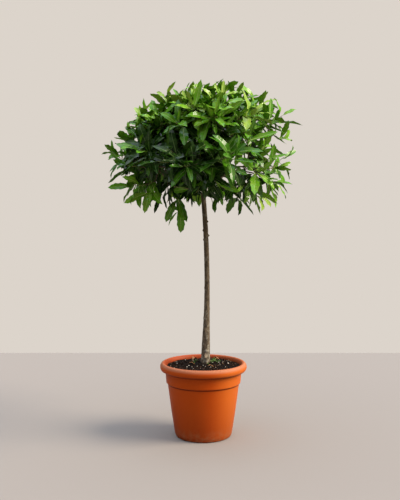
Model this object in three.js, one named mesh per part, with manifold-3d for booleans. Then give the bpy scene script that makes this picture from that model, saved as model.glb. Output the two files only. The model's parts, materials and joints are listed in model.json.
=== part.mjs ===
// Standard bay tree: a mop-headed evergreen on one clear stem, growing in a round pot.
// Millimetres, +Z up, +X to the right and -Y towards the viewer. The origin is the centre of
// the pot's flat underside.
import * as THREE from "three";
import { mergeVertices } from "three/addons/utils/BufferGeometryUtils.js";
import Module from "manifold-3d";

// The pot: a moulded shell with a rolled rim, a collar band under it and a tapering body.
const POT = {
  rimRadius: 193, height: 323, mouthRadius: 166, rollDepth: 36,
  neckRadius: 170, collarFoot: 235.5, collarStep: 5.5, bodyTopRadius: 160,
  baseRadius: 126, baseEdge: 7, wall: 4, floor: 6, facets: 32,
  drainHoles: 4, drainRadius: 7, drainCircle: 84,
};
// The compost fills the pot to just under the rim, and rises a little round the stem.
const SOIL = { edgeHeight: 306, crestHeight: 321, flatRadius: 26, relief: 2.5 };
// The stem: bowed to the right, swelling where it meets the compost.
const STEM = {
  footX: 8, tipX: -14, bow: 18, sway: 5, tipHeight: 1232,
  shaftRadius: 12.2, shoulderRadius: 10.6, tipRadius: 6.5,
  flare: 7.5, flareReach: 170, rootLobes: 5, lobe: 2.4, lobeReach: 34,
  sides: 10, steps: 15,
};
// The head: its heart, its reach sideways, upwards and downwards, and how square its outline is.
const HEAD = { heartX: -15, heartHeight: 1200, side: 450, up: 395, down: 250, squareness: 2.2 };
// Each mass fills one cone of the head around its direction, in degrees from +X and above level.
// reach scales the head's outline there. forkHeight is where its bough leaves the stem.
const MASSES = [
  { name: "front", azimuth: 270, elevation: -4, reach: 0.98, forkHeight: 1092 },
  { name: "front_right", azimuth: 330, elevation: -4, reach: 1.01, forkHeight: 1128 },
  { name: "back_right", azimuth: 30, elevation: -4, reach: 1.02, forkHeight: 1074 },
  { name: "back", azimuth: 90, elevation: -4, reach: 0.98, forkHeight: 1118 },
  { name: "back_left", azimuth: 150, elevation: -4, reach: 0.99, forkHeight: 1086 },
  { name: "front_left", azimuth: 210, elevation: -4, reach: 1.0, forkHeight: 1134 },
  { name: "upper_front", azimuth: 272, elevation: 42, reach: 0.97, forkHeight: 1184 },
  { name: "upper_right", azimuth: 344, elevation: 42, reach: 1.1, forkHeight: 1162 },
  { name: "upper_back_right", azimuth: 56, elevation: 42, reach: 1.04, forkHeight: 1196 },
  { name: "upper_back_left", azimuth: 128, elevation: 42, reach: 0.96, forkHeight: 1152 },
  { name: "upper_left", azimuth: 200, elevation: 42, reach: 0.87, forkHeight: 1174 },
  { name: "top", azimuth: 0, elevation: 90, reach: 1.02, forkHeight: null },
];
const REACH_BLEND = 8;
// One spray hangs lower than the rest of the head.
const LOW_SPRAY = { azimuth: 236, elevation: -60, extra: 0.34, narrowness: 50 };
// A bough is one tapering limb from the stem to where its mass begins.
const BOUGH = { baseRadius: 5.6, tipRadius: 4, entry: 0.4, rise: 26, sides: 5, steps: 5 };
// The stem of a mass carries on from its bough. Twigs leave it for the tips of the shoots.
const TWIG = {
  stemEnd: 0.62, stemNodes: 3, stemRadius: 3.8, stemTipRadius: 3.2, thinning: 0.85, tipRadius: 2.2,
  lift: 0.25, bend: 0.55, forward: 1.7, sides: 3, steps: 2,
};
// Shoots stand at golden-angle steps over the head. The outer ones stop short of its outline by
// most of a leaf, and every third one is an inner shoot.
const SHOOTS = { count: 90, lowest: -56, short: 96, inner: 0.56, innerEvery: 3, jitter: 14, tuck: 0.12 };
// Leaves stand in a spiral on the last stretch of each shoot, the lowest the most spread.
const LEAF = {
  length: 130, width: 58, thickness: 1.7, root: 1.3, perOuter: 6, perInner: 5,
  stretch: 66, tipSpread: 32, rootSpread: 84, droop: 0.15, lowDroop: 0.6, facingUp: 0.35, roll: 0.7, tries: 14, turn: 0.12, lean: 0.07, shrink: 0.025,
};
const SEED = 20260;
const CLEARANCE = 0.3;
const LIMB_GAP = 1.2;
const SPACE_GAP = 0.4;
const SLIVER = 0.05;
const GOLDEN_ANGLE = Math.PI * (3 - Math.sqrt(5));
const UP = new THREE.Vector3(0, 0, 1);

const wasm = await Module();
wasm.setup();

const plastic = new THREE.MeshStandardMaterial({ color: "#c4602f", roughness: 0.5, metalness: 0 });
const compost = new THREE.MeshStandardMaterial({ color: "#2a1c13", roughness: 1, metalness: 0 });
const bark = new THREE.MeshStandardMaterial({ color: "#6b5f4c", roughness: 0.85, metalness: 0 });
const foliage = new THREE.MeshStandardMaterial({ color: "#3f6a1e", roughness: 0.4, metalness: 0 });

// Small sums

function seededRandom(seed) {
  let state = seed >>> 0;
  return () => {
    state = (Math.imul(state, 1664525) + 1013904223) >>> 0;
    return state / 4294967296;
  };
}

function directionOf(azimuthDegrees, elevationDegrees) {
  const azimuth = THREE.MathUtils.degToRad(azimuthDegrees);
  const elevation = THREE.MathUtils.degToRad(elevationDegrees);
  const level = Math.cos(elevation);
  return new THREE.Vector3(Math.cos(azimuth) * level, Math.sin(azimuth) * level, Math.sin(elevation));
}

const mix = (a, b, share) => a + (b - a) * share;

// Solids

function solidOf(geometry) {
  const bare = geometry.clone();
  bare.deleteAttribute("normal");
  bare.deleteAttribute("uv");
  const merged = mergeVertices(bare, 1e-4);
  return new wasm.Manifold(new wasm.Mesh({
    numProp: 3,
    vertProperties: new Float32Array(merged.attributes.position.array),
    triVerts: new Uint32Array(merged.index.array),
  }));
}

// The largest body of a solid, with the slivers left by joins taken out and any hollow sealed
// inside it filled.
function oneBody(solid) {
  const bodies = solid.simplify(SLIVER).decompose();
  return bodies.reduce((best, body) => (body.volume() > best.volume() ? body : best));
}

function geometryOf(solid) {
  const { vertProperties, triVerts } = solid.getMesh();
  return new THREE.BufferGeometry()
    .setAttribute("position", new THREE.BufferAttribute(vertProperties, 3))
    .setIndex(new THREE.BufferAttribute(triVerts, 1));
}

function meshOf(name, geometry, material) {
  const shaded = geometry.clone();
  shaded.computeVertexNormals();
  const mesh = new THREE.Mesh(shaded, material);
  mesh.name = name;
  return mesh;
}

// A closed tapering limb: a capped cylinder whose rings are laid along a curve.
function limbGeometry(curve, radiusAt, sides, steps) {
  const geometry = new THREE.CylinderGeometry(1, 1, 1, sides, steps);
  const { normals, binormals } = curve.computeFrenetFrames(steps, false);
  const position = geometry.attributes.position;
  const along = (i) => THREE.MathUtils.clamp(position.getY(i) + 0.5, 0, 1);
  for (let i = 0; i < position.count; i++) {
    const share = along(i);
    const ring = Math.round(share * steps);
    const angle = Math.atan2(position.getZ(i), position.getX(i));
    const radius = Math.hypot(position.getX(i), position.getZ(i)) * radiusAt(share, angle);
    const point = curve.getPointAt(share)
      .addScaledVector(normals[ring], Math.cos(angle) * radius)
      .addScaledVector(binormals[ring], -Math.sin(angle) * radius);
    position.setXYZ(i, point.x, point.y, point.z);
  }
  return geometry;
}

// Pot and compost

function turnedSolid(outline, facets) {
  return new THREE.LatheGeometry(outline, facets).rotateX(Math.PI / 2);
}

// Points on a quarter or half of an oval, from one angle to another in degrees.
function ovalArc(centreX, centreY, radiusX, radiusY, from, to, steps) {
  return Array.from({ length: steps + 1 }, (_, i) => {
    const angle = THREE.MathUtils.degToRad(mix(from, to, i / steps));
    return new THREE.Vector2(centreX + radiusX * Math.cos(angle), centreY + radiusY * Math.sin(angle));
  });
}

function bodyRadiusAt(height) {
  return mix(POT.baseRadius, POT.bodyTopRadius, height / POT.collarFoot);
}

function potShell() {
  const rollWidth = (POT.rimRadius - POT.mouthRadius) / 2;
  const rollCentre = POT.height - POT.rollDepth / 2;
  const collarRadius = POT.bodyTopRadius + POT.collarStep;
  const outline = [
    new THREE.Vector2(0, 0),
    new THREE.Vector2(POT.baseRadius - POT.baseEdge, 0),
    ...ovalArc(POT.baseRadius - POT.baseEdge, POT.baseEdge, POT.baseEdge, POT.baseEdge, -45, 0, 1),
    new THREE.Vector2(POT.bodyTopRadius, POT.collarFoot),
    new THREE.Vector2(collarRadius, POT.collarFoot + 2),
    new THREE.Vector2(POT.neckRadius, POT.height - POT.rollDepth),
    ...ovalArc(POT.mouthRadius + rollWidth, rollCentre, rollWidth, POT.rollDepth / 2, -60, 180, 5),
    new THREE.Vector2(POT.neckRadius - POT.wall, POT.height - POT.rollDepth),
    new THREE.Vector2(POT.bodyTopRadius - POT.wall, POT.collarFoot),
    new THREE.Vector2(bodyRadiusAt(POT.floor) - POT.wall, POT.floor),
    new THREE.Vector2(0, POT.floor),
  ];
  let shell = solidOf(turnedSolid(outline, POT.facets));
  for (let i = 0; i < POT.drainHoles; i++) {
    const angle = (2 * Math.PI * i) / POT.drainHoles;
    const hole = new THREE.CylinderGeometry(POT.drainRadius, POT.drainRadius, POT.floor * 4, 8)
      .rotateX(Math.PI / 2)
      .translate(POT.drainCircle * Math.cos(angle), POT.drainCircle * Math.sin(angle), 0);
    shell = shell.subtract(solidOf(hole));
  }
  return geometryOf(oneBody(shell));
}

function soilFill() {
  const random = seededRandom(SEED);
  const insideRadius = (height) => bodyRadiusAt(height) - POT.wall - CLEARANCE;
  const neckInside = POT.neckRadius - POT.wall - CLEARANCE;
  const rings = [0.75, 0.45];
  const outline = [
    new THREE.Vector2(0, POT.floor + CLEARANCE),
    new THREE.Vector2(insideRadius(POT.floor) - CLEARANCE, POT.floor + CLEARANCE),
    new THREE.Vector2(POT.bodyTopRadius - POT.wall - CLEARANCE * 1.2, POT.collarFoot),
    new THREE.Vector2(neckInside - CLEARANCE, POT.height - POT.rollDepth),
    new THREE.Vector2(neckInside, SOIL.edgeHeight),
    ...rings.map((share) => new THREE.Vector2(
      neckInside * share, mix(SOIL.crestHeight, SOIL.edgeHeight, share * share))),
    new THREE.Vector2(SOIL.flatRadius, SOIL.crestHeight),
    new THREE.Vector2(0, SOIL.crestHeight),
  ];
  const fill = mergeVertices(stripped(turnedSolid(outline, POT.facets)), 1e-3);
  const position = fill.attributes.position;
  for (let i = 0; i < position.count; i++) {
    const radius = Math.hypot(position.getX(i), position.getY(i));
    const onTop = position.getZ(i) > SOIL.edgeHeight - 1 && radius > SOIL.flatRadius + 1;
    if (onTop) position.setZ(i, position.getZ(i) + SOIL.relief * (2 * random() - 1));
  }
  return fill;
}

function stripped(geometry) {
  geometry.deleteAttribute("normal");
  geometry.deleteAttribute("uv");
  return geometry;
}

// The stem and its boughs

// The stem's centre line, from the compost to its tip.
class StemCurve extends THREE.Curve {
  getPoint(share, target = new THREE.Vector3()) {
    const foot = SOIL.crestHeight + CLEARANCE;
    return target.set(
      mix(STEM.footX, STEM.tipX, share) + STEM.bow * Math.sin(Math.PI * share),
      STEM.sway * Math.sin(2 * Math.PI * share),
      mix(foot, STEM.tipHeight, share),
    );
  }
}
const stemCurve = new StemCurve();

function stemShareAt(height) {
  const foot = SOIL.crestHeight + CLEARANCE;
  return (height - foot) / (STEM.tipHeight - foot);
}

// The stem tapers slowly to its shoulder at 80% of its length, and faster through the fork.
function stemRadiusAt(share) {
  const shoulder = 0.8;
  const shaft = share < shoulder
    ? mix(STEM.shaftRadius, STEM.shoulderRadius, share / shoulder)
    : mix(STEM.shoulderRadius, STEM.tipRadius, (share - shoulder) / (1 - shoulder));
  const above = share * (STEM.tipHeight - SOIL.crestHeight);
  return shaft + STEM.flare * Math.exp(-((above / STEM.flareReach) ** 2));
}

function stemSolid() {
  const rooted = (share, angle) => {
    const above = share * (STEM.tipHeight - SOIL.crestHeight);
    const lobes = STEM.lobe * Math.cos(STEM.rootLobes * angle) * Math.exp(-above / STEM.lobeReach);
    return stemRadiusAt(share) + lobes;
  };
  const geometry = limbGeometry(stemCurve, rooted, STEM.sides, STEM.steps);
  // The foot is cut level where the stem meets the compost.
  const position = geometry.attributes.position;
  const foot = SOIL.crestHeight + CLEARANCE;
  const atFoot = stemCurve.getPointAt(0);
  for (let i = 0; i < position.count; i++) {
    const side = Math.hypot(position.getX(i) - atFoot.x, position.getY(i) - atFoot.y);
    if (position.getZ(i) < foot + 4 && side < STEM.shaftRadius * 3) position.setZ(i, foot);
  }
  return geometry;
}

const heart = new THREE.Vector3(HEAD.heartX, 0, HEAD.heartHeight);
const massDirections = MASSES.map((mass) => directionOf(mass.azimuth, mass.elevation));
const lowDirection = directionOf(LOW_SPRAY.azimuth, LOW_SPRAY.elevation);

// How far the head reaches from its heart in a direction.
function headReach(direction) {
  const level = Math.hypot(direction.x, direction.y) / HEAD.side;
  const upright = Math.abs(direction.z) / (direction.z > 0 ? HEAD.up : HEAD.down);
  const p = HEAD.squareness;
  const oval = (level ** p + upright ** p) ** (-1 / p);
  let total = 0;
  let weighted = 0;
  MASSES.forEach((mass, i) => {
    const weight = Math.max(0, direction.dot(massDirections[i])) ** REACH_BLEND;
    total += weight;
    weighted += weight * mass.reach;
  });
  const hanging = LOW_SPRAY.extra * Math.max(0, direction.dot(lowDirection)) ** LOW_SPRAY.narrowness;
  return oval * (weighted / total + hanging);
}

function alongMass(index, share) {
  const direction = massDirections[index];
  return heart.clone().addScaledVector(direction, headReach(direction) * share);
}

function boughCurve(index) {
  const start = stemCurve.getPointAt(stemShareAt(MASSES[index].forkHeight));
  const end = alongMass(index, BOUGH.entry);
  const way = end.clone().sub(start);
  const knee = start.clone().addScaledVector(way, 0.5).addScaledVector(UP, BOUGH.rise);
  return new THREE.QuadraticBezierCurve3(start, knee, end);
}

const boughRadiusAt = (share) => mix(BOUGH.baseRadius, BOUGH.tipRadius, share);
const boughs = MASSES
  .map((mass, index) => ({ name: mass.name, index, forked: mass.forkHeight !== null }))
  .filter((bough) => bough.forked)
  .map((bough) => ({ ...bough, curve: boughCurve(bough.index) }));

// A limb made thicker by the clearance, to cut its neighbours back from it.
function keepClear(curve, radiusAt, sides, steps) {
  return solidOf(limbGeometry(curve, (share) => radiusAt(share) + CLEARANCE * 1.5, sides, steps));
}

const stemClearance = keepClear(stemCurve, stemRadiusAt, STEM.sides, STEM.steps);
const limbClearances = [
  stemClearance,
  ...boughs.map(({ curve }) => keepClear(curve, boughRadiusAt, BOUGH.sides, BOUGH.steps)),
];

// A bough is cut round where it leaves the stem, a hair clear of it.
function boughGeometry(bough) {
  const limb = solidOf(limbGeometry(bough.curve, boughRadiusAt, BOUGH.sides, BOUGH.steps));
  return geometryOf(oneBody(limb.subtract(stemClearance)));
}

// Points down the middle of the stem and the boughs, each with the limb's radius there.
function limbSamples() {
  const spacing = 9;
  const sampled = (curve, radiusAt) => {
    const steps = Math.ceil(curve.getLength() / spacing);
    return Array.from({ length: steps + 1 }, (_, i) => (
      { at: curve.getPointAt(i / steps), radius: radiusAt(i / steps) }));
  };
  return [
    ...sampled(stemCurve, stemRadiusAt),
    ...boughs.flatMap((bough) => sampled(bough.curve, boughRadiusAt)),
  ];
}
const limbs = limbSamples();

function clearOfLimbs(point) {
  const half = 4.5;
  return limbs.every(({ at, radius }) => at.distanceTo(point) > Math.hypot(radius + LIMB_GAP, half));
}

// The masses of foliage

function insideSpace(point, index, gap = SPACE_GAP) {
  const out = point.clone().sub(heart);
  const own = massDirections[index];
  return massDirections.every((other, i) => {
    if (i === index) return true;
    const across = own.clone().sub(other);
    return out.dot(across) > gap * across.length();
  });
}

// Directions spread evenly over the head, with the hanging spray's first.
function shootDirections() {
  const lowest = Math.sin(THREE.MathUtils.degToRad(SHOOTS.lowest));
  const spread = Array.from({ length: SHOOTS.count }, (_, i) => {
    const height = 1 - (2 * (i + 0.5)) / SHOOTS.count;
    const level = Math.sqrt(1 - height * height);
    const azimuth = i * GOLDEN_ANGLE;
    return new THREE.Vector3(Math.cos(azimuth) * level, Math.sin(azimuth) * level, height);
  });
  return [lowDirection, ...spread.filter((direction) => direction.z >= lowest)];
}

// Where each shoot ends and which way it points, dealt to the mass whose cone holds it.
function shootPlan() {
  const random = seededRandom(SEED);
  const plan = MASSES.map(() => []);
  shootDirections().forEach((place, i) => {
    const nearest = massDirections.reduce((best, own, k) => (
      place.dot(own) > place.dot(massDirections[best]) ? k : best), 0);
    const direction = place.clone().lerp(massDirections[nearest], SHOOTS.tuck).normalize();
    const inner = i % SHOOTS.innerEvery === 1;
    const wander = SHOOTS.jitter * (2 * random() - 1);
    const reach = headReach(direction);
    const tipDistance = (inner ? reach * SHOOTS.inner : reach - SHOOTS.short) + wander;
    const tip = heart.clone().addScaledVector(direction, tipDistance);
    const heading = direction.clone().addScaledVector(UP, TWIG.lift).normalize();
    plan[nearest].push({ tip, heading, direction, inner });
  });
  return plan;
}

// A twig's centre line: straight stretches along a smooth bend between two points, so that the
// leaves' roots lie inside the twig.
function twigLine(from, fromHeading, to, toHeading) {
  const pull = from.distanceTo(to) * TWIG.bend / 3;
  const bend = new THREE.CubicBezierCurve3(
    from,
    from.clone().addScaledVector(fromHeading, pull),
    to.clone().addScaledVector(toHeading, -pull),
    to,
  );
  const points = bend.getSpacedPoints(TWIG.steps);
  const line = new THREE.CurvePath();
  points.slice(1).forEach((point, i) => line.add(new THREE.LineCurve3(points[i], point)));
  return line;
}

// The twig of a new shoot. It leaves the node that is nearest to the shoot's tip and has the tip
// ahead of it, or the next best one if that twig would leave the space or touch a limb.
function twigTo(shoot, nodes, index) {
  const cost = (node) => {
    const way = shoot.tip.clone().sub(node.at);
    const distance = way.length();
    return distance * (TWIG.forward - way.dot(node.heading) / distance);
  };
  return [...nodes]
    .sort((a, b) => cost(a) - cost(b))
    .map((node) => ({ node, curve: twigLine(node.at, node.heading, shoot.tip, shoot.heading) }))
    .find(({ curve }) => {
      const points = curve.getSpacedPoints(6);
      return points.every((point) => insideSpace(point, index, TWIG.stemTipRadius + SPACE_GAP))
        && points.slice(1).every(clearOfLimbs);
    });
}

// A leaf with its root at the origin, pointing along +X: a thin blade that falls away on both
// sides of its midrib.
function leafBlade(scale) {
  const length = LEAF.length * scale;
  const half = (LEAF.width * scale) / 2;
  const widest = length * 0.46;
  const fall = LEAF.thickness - (LEAF.root / 2) * (1 - widest / length);
  const points = [
    [0, 0, LEAF.root / 2], [0, 0, -LEAF.root / 2],
    [widest, half, -fall], [widest, -half, -fall], [length, 0, 0],
  ];
  const faces = [[0, 4, 2], [0, 3, 4], [1, 2, 3], [2, 4, 3], [0, 2, 1], [0, 1, 3]];
  return new THREE.BufferGeometry()
    .setAttribute("position", new THREE.Float32BufferAttribute(points.flat(), 3))
    .setIndex(faces.flat());
}

// Turns a blade so that it points along heading with its face as level as it can be.
function placedLeaf(root, heading, facing, scale) {
  const side = new THREE.Vector3().crossVectors(facing, heading).normalize();
  const top = new THREE.Vector3().crossVectors(heading, side);
  const frame = new THREE.Matrix4().makeBasis(heading, side, top).setPosition(root);
  return leafBlade(scale).applyMatrix4(frame);
}

function cornersOf(geometry) {
  const position = geometry.attributes.position;
  return Array.from({ length: position.count }, (_, i) => (
    new THREE.Vector3().fromBufferAttribute(position, i)));
}

// Points along a leaf's midrib and edges, without those at its root.
function probesOf(geometry) {
  const [root, , left, right, tip] = cornersOf(geometry);
  const between = (a, b, share) => a.clone().lerp(b, share);
  return [
    left, right, tip,
    ...[0.15, 0.3, 0.5, 0.7, 0.85].map((share) => between(root, tip, share)),
    ...[left, right].flatMap((edge) => [between(root, edge, 0.6), between(edge, tip, 0.5)]),
  ];
}

// Whether a rib or edge of one leaf runs through the face of another.
function cutsThrough(blade, other) {
  const corners = cornersOf(blade);
  const faces = cornersOf(other);
  const ray = new THREE.Ray();
  const met = new THREE.Vector3();
  return [[0, 2], [0, 3], [0, 4], [2, 4], [3, 4]].some(([from, to]) => {
    const start = corners[from].clone().lerp(corners[to], from === 0 ? 0.3 : 0);
    ray.set(start, corners[to].clone().sub(start).normalize());
    const length = start.distanceTo(corners[to]);
    return [[0, 4, 2], [0, 3, 4]].some(([a, b, c]) => (
      ray.intersectTriangle(faces[a], faces[b], faces[c], false, met) !== null
      && met.distanceTo(start) < length));
  });
}

const cross = (blade, other) => cutsThrough(blade, other) || cutsThrough(other, blade);

// The leaves of one shoot, from its tip down in a spiral. One that would leave the space, touch
// a limb or cut through other leaves is leant towards the middle of its mass, and then skipped.
function shootLeaves(shoot, curve, index, random, others) {
  const count = shoot.inner ? LEAF.perInner : LEAF.perOuter;
  const length = curve.getLength();
  const leaves = [];
  const across = new THREE.Vector3().crossVectors(shoot.heading, new THREE.Vector3(0.31, 0.57, 0.23))
    .normalize();
  const turn = random() * 2 * Math.PI;
  for (let i = 0; i < count; i++) {
    const rank = i / (count - 1);
    const back = Math.min(LEAF.stretch * rank, length * 0.85) + 1;
    const root = curve.getPointAt(1 - back / length);
    const spread = THREE.MathUtils.degToRad(mix(LEAF.tipSpread, LEAF.rootSpread, rank));
    const outward = across.clone().applyAxisAngle(shoot.heading, turn + i * GOLDEN_ANGLE);
    const low = THREE.MathUtils.clamp(0.35 - shoot.direction.z, 0, 1);
    const droop = mix(LEAF.droop * rank, LEAF.lowDroop, low * (0.5 + 0.5 * rank));
    const heading = shoot.heading.clone().multiplyScalar(Math.cos(spread))
      .addScaledVector(outward, Math.sin(spread))
      .addScaledVector(UP, -droop)
      .normalize();
    const scale = mix(0.86, 1.08, random());
    const wander = new THREE.Vector3(random() - 0.5, random() - 0.5, random() - 0.5);
    const facing = shoot.direction.clone()
      .addScaledVector(UP, LEAF.facingUp)
      .addScaledVector(wander, 2 * LEAF.roll);
    for (let attempt = 0; attempt < LEAF.tries; attempt++) {
      const leant = heading.clone()
        .applyAxisAngle(shoot.heading, LEAF.turn * attempt * (attempt % 2 ? 1 : -1))
        .addScaledVector(massDirections[index], LEAF.lean * attempt)
        .normalize();
      const blade = placedLeaf(root, leant, facing, scale * (1 - LEAF.shrink * attempt));
      const kept = cornersOf(blade).every((corner) => insideSpace(corner, index))
        && cornersOf(blade).every((corner) => withinReach(corner))
        && probesOf(blade).every(clearOfLimbs)
        && ![...others, ...leaves].some((other) => cross(blade, other));
      if (!kept) continue;
      leaves.push(blade);
      break;
    }
  }
  return leaves;
}

function withinReach(point) {
  const out = point.clone().sub(heart);
  return out.length() <= headReach(out.clone().normalize());
}

// One mass: its stem, then twigs to its shoots from the nearest outwards, then their leaves.
function massSolid(index, shoots) {
  const random = seededRandom(SEED + index + 1);
  const mass = MASSES[index];
  const direction = massDirections[index];
  const bough = boughs.find((other) => other.index === index);
  const entry = bough ? bough.curve.getPointAt(1) : stemCurve.getPointAt(1);
  const entryHeading = bough ? bough.curve.getTangentAt(1) : stemCurve.getTangentAt(1);
  const start = entry.clone().addScaledVector(entryHeading, CLEARANCE);
  const stem = twigLine(start, entryHeading, alongMass(index, TWIG.stemEnd), direction);
  const stemRadius = (share) => mix(TWIG.stemRadius, TWIG.stemTipRadius, share);
  const pieces = [limbGeometry(stem, stemRadius, TWIG.sides, TWIG.steps)];
  const nodes = [];
  for (let i = 1; i <= TWIG.stemNodes; i++) {
    const share = i / TWIG.stemNodes;
    const at = stem.getPointAt(share * 0.97);
    nodes.push({ at, heading: stem.getTangentAt(share), radius: stemRadius(share) });
  }
  const order = [...shoots].sort((a, b) => a.tip.distanceTo(start) - b.tip.distanceTo(start));
  const leaves = [];
  for (const shoot of order) {
    const twig = twigTo(shoot, nodes, index);
    if (!twig) continue;
    const { curve, node } = twig;
    const baseRadius = Math.max(node.radius * TWIG.thinning, TWIG.tipRadius);
    const twigRadius = (share) => mix(baseRadius, TWIG.tipRadius, share);
    pieces.push(limbGeometry(curve, twigRadius, TWIG.sides, TWIG.steps));
    for (const share of [0.4, 0.7]) {
      const at = curve.getPointAt(share);
      nodes.push({ at, heading: curve.getTangentAt(share), radius: twigRadius(share) });
    }
    leaves.push(...shootLeaves(shoot, curve, index, random, leaves));
  }
  const whole = [...pieces, ...leaves].map(solidOf).reduce((sum, piece) => sum.add(piece));
  const clear = limbClearances.reduce((rest, limb) => rest.subtract(limb), whole);
  return { name: `mass_${mass.name}`, geometry: geometryOf(oneBody(clear)) };
}

// The whole plant

const plant = new THREE.Group();
plant.add(meshOf("pot", potShell(), plastic));
plant.add(meshOf("compost", soilFill(), compost));
plant.add(meshOf("stem", stemSolid(), bark));

for (const bough of boughs) {
  plant.add(meshOf(`bough_${bough.name}`, boughGeometry(bough), bark));
}

const plan = shootPlan();
for (let index = 0; index < MASSES.length; index++) {
  const { name, geometry } = massSolid(index, plan[index]);
  plant.add(meshOf(name, geometry, foliage));
}

export default plant;
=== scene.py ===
# A standard bay tree in a round terracotta-coloured pot: a leafy head on one clear stem.
# Sizes are in millimetres and are turned to metres as each mesh is made. +Z is up, +X is to the
# right and -Y is towards the viewer. The origin is the centre of the pot's flat underside.
import json
import math

import bmesh
import bpy
import numpy as np
from mathutils import Matrix, Vector, noise
from mathutils.bvhtree import BVHTree

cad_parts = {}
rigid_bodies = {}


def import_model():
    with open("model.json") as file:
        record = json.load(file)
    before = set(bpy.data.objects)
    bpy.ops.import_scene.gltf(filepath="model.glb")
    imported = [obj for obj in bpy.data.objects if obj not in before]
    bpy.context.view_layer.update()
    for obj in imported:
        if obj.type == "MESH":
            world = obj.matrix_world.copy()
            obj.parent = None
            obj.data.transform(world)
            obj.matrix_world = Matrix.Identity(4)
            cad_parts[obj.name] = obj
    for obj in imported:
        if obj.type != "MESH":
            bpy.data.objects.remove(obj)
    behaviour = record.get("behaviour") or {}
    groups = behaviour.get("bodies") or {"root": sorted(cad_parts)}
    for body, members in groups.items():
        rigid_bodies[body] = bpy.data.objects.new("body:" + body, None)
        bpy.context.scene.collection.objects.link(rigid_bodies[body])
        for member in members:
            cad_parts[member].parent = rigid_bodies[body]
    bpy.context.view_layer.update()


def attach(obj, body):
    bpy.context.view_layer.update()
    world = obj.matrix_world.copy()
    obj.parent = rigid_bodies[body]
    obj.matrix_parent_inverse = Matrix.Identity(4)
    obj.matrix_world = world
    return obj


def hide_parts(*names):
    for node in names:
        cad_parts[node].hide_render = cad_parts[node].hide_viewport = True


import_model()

# ---- Pot ----
# A round nursery pot, injection-moulded in terracotta-coloured polypropylene. The rim is rolled
# over, a collar band steps out under it, and the floor has four drain holes. It stands on the
# flat underside, and carries everything else.
MM = 0.001
POT = {
    "rim_radius": 193, "height": 323, "mouth_radius": 166, "roll_depth": 36,
    "neck_radius": 170, "collar_foot": 235.5, "collar_step": 5.5, "body_top_radius": 160,
    "base_radius": 126, "wall": 4, "floor": 6, "facets": 128,
    "drain_radius": 7, "drain_circle": 84, "knee_height": 118, "knee_in": 16,
}


def arc(centre, radii, start, end, steps):
    """Points on an oval between two angles in degrees, as (radius, height) pairs."""
    angles = np.radians(np.linspace(start, end, steps + 1))
    return [(centre[0] + radii[0] * math.cos(a), centre[1] + radii[1] * math.sin(a)) for a in angles]


def turned(outline, facets):
    """A closed mesh turned about the Z axis from (radius, height) pairs, a pole at each end."""
    bm = bmesh.new()
    rings = []
    for radius, height in outline:
        if radius == 0:
            rings.append([bm.verts.new((0, 0, height * MM))] * facets)
            continue
        angles = [2 * math.pi * i / facets for i in range(facets)]
        rings.append([bm.verts.new((radius * math.cos(a) * MM, radius * math.sin(a) * MM, height * MM))
                      for a in angles])
    for low, high in zip(rings, rings[1:]):
        for i in range(facets):
            j = (i + 1) % facets
            bm.faces.new(list(dict.fromkeys([low[i], low[j], high[j], high[i]])))
    return bm


def made_from(name, bm):
    """A new object for a bmesh, which is used up. It isn't in the scene yet."""
    mesh = bpy.data.meshes.new(name)
    bm.to_mesh(mesh)
    bm.free()
    return bpy.data.objects.new(name, mesh)


def placed(piece):
    """Puts an object in the scene, where its mesh already is."""
    bpy.context.scene.collection.objects.link(piece)
    return piece


def shade(piece, sharp_angle):
    """Smooth faces, with a crease where they meet at more than an angle in degrees."""
    piece.data.polygons.foreach_set("use_smooth", [True] * len(piece.data.polygons))
    piece.data.set_sharp_from_angle(angle=math.radians(sharp_angle))


def made_plain(piece):
    """Turns a piece and its live modifiers into a plain mesh with no modifier."""
    result = bpy.data.meshes.new_from_object(
        piece.evaluated_get(bpy.context.evaluated_depsgraph_get()))
    piece.modifiers.clear()
    piece.data = result
    result.name = piece.name
    return piece


def settle(piece, slot, *nodes):
    """Lets a finished piece ride on the object's one body, and hides the CAD nodes that it stands for.
    The slot is not used.
    """
    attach(piece, "root")
    if nodes:
        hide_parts(*nodes)
    return piece


def linear(colour):
    """A linear colour from an sRGB hex value."""
    shares = [int(colour[i:i + 2], 16) / 255 for i in (1, 3, 5)]
    return [s / 12.92 if s <= 0.04045 else ((s + 0.055) / 1.055) ** 2.4 for s in shares] + [1.0]


def add_node(tree, kind, inputs=None, **settings):
    """Adds a node with its settings. Each input is a value, or a socket to link."""
    node = tree.nodes.new(kind)
    for name, value in settings.items():
        setattr(node, name, value)
    for socket, value in (inputs or {}).items():
        if isinstance(value, bpy.types.NodeSocket):
            tree.links.new(value, node.inputs[socket])
        else:
            node.inputs[socket].default_value = value
    return node


def math_of(tree, operation, first, second=0.0):
    """The result of a sum with one or two values."""
    return add_node(tree, "ShaderNodeMath", {0: first, 1: second}, operation=operation).outputs[0]


def mixed(tree, share, under, over):
    """A mix of two colours, each a hex value or a socket, by a share from 0 to 1."""
    under, over = (linear(colour) if isinstance(colour, str) else colour for colour in (under, over))
    return add_node(tree, "ShaderNodeMix", {0: share, 6: under, 7: over}, data_type="RGBA").outputs[2]


def ranged(tree, value, low, high, top=1.0, bottom=0.0, **settings):
    """How far a value lies from low to high, as a number from bottom to top."""
    ends = {"Value": value, "From Min": low, "From Max": high, "To Min": bottom, "To Max": top}
    return add_node(tree, "ShaderNodeMapRange", ends, **settings).outputs[0]


def ramped(tree, value, first, middle, last):
    """A colour that runs through three stops, each a position and a hex value."""
    ramp = add_node(tree, "ShaderNodeValToRGB", {0: value})
    stops = ramp.color_ramp.elements
    stops[0].position, stops[0].color = first[0], linear(first[1])
    stops[1].position, stops[1].color = last[0], linear(last[1])
    stops.new(middle[0]).color = linear(middle[1])
    return ramp.outputs[0]


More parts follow.
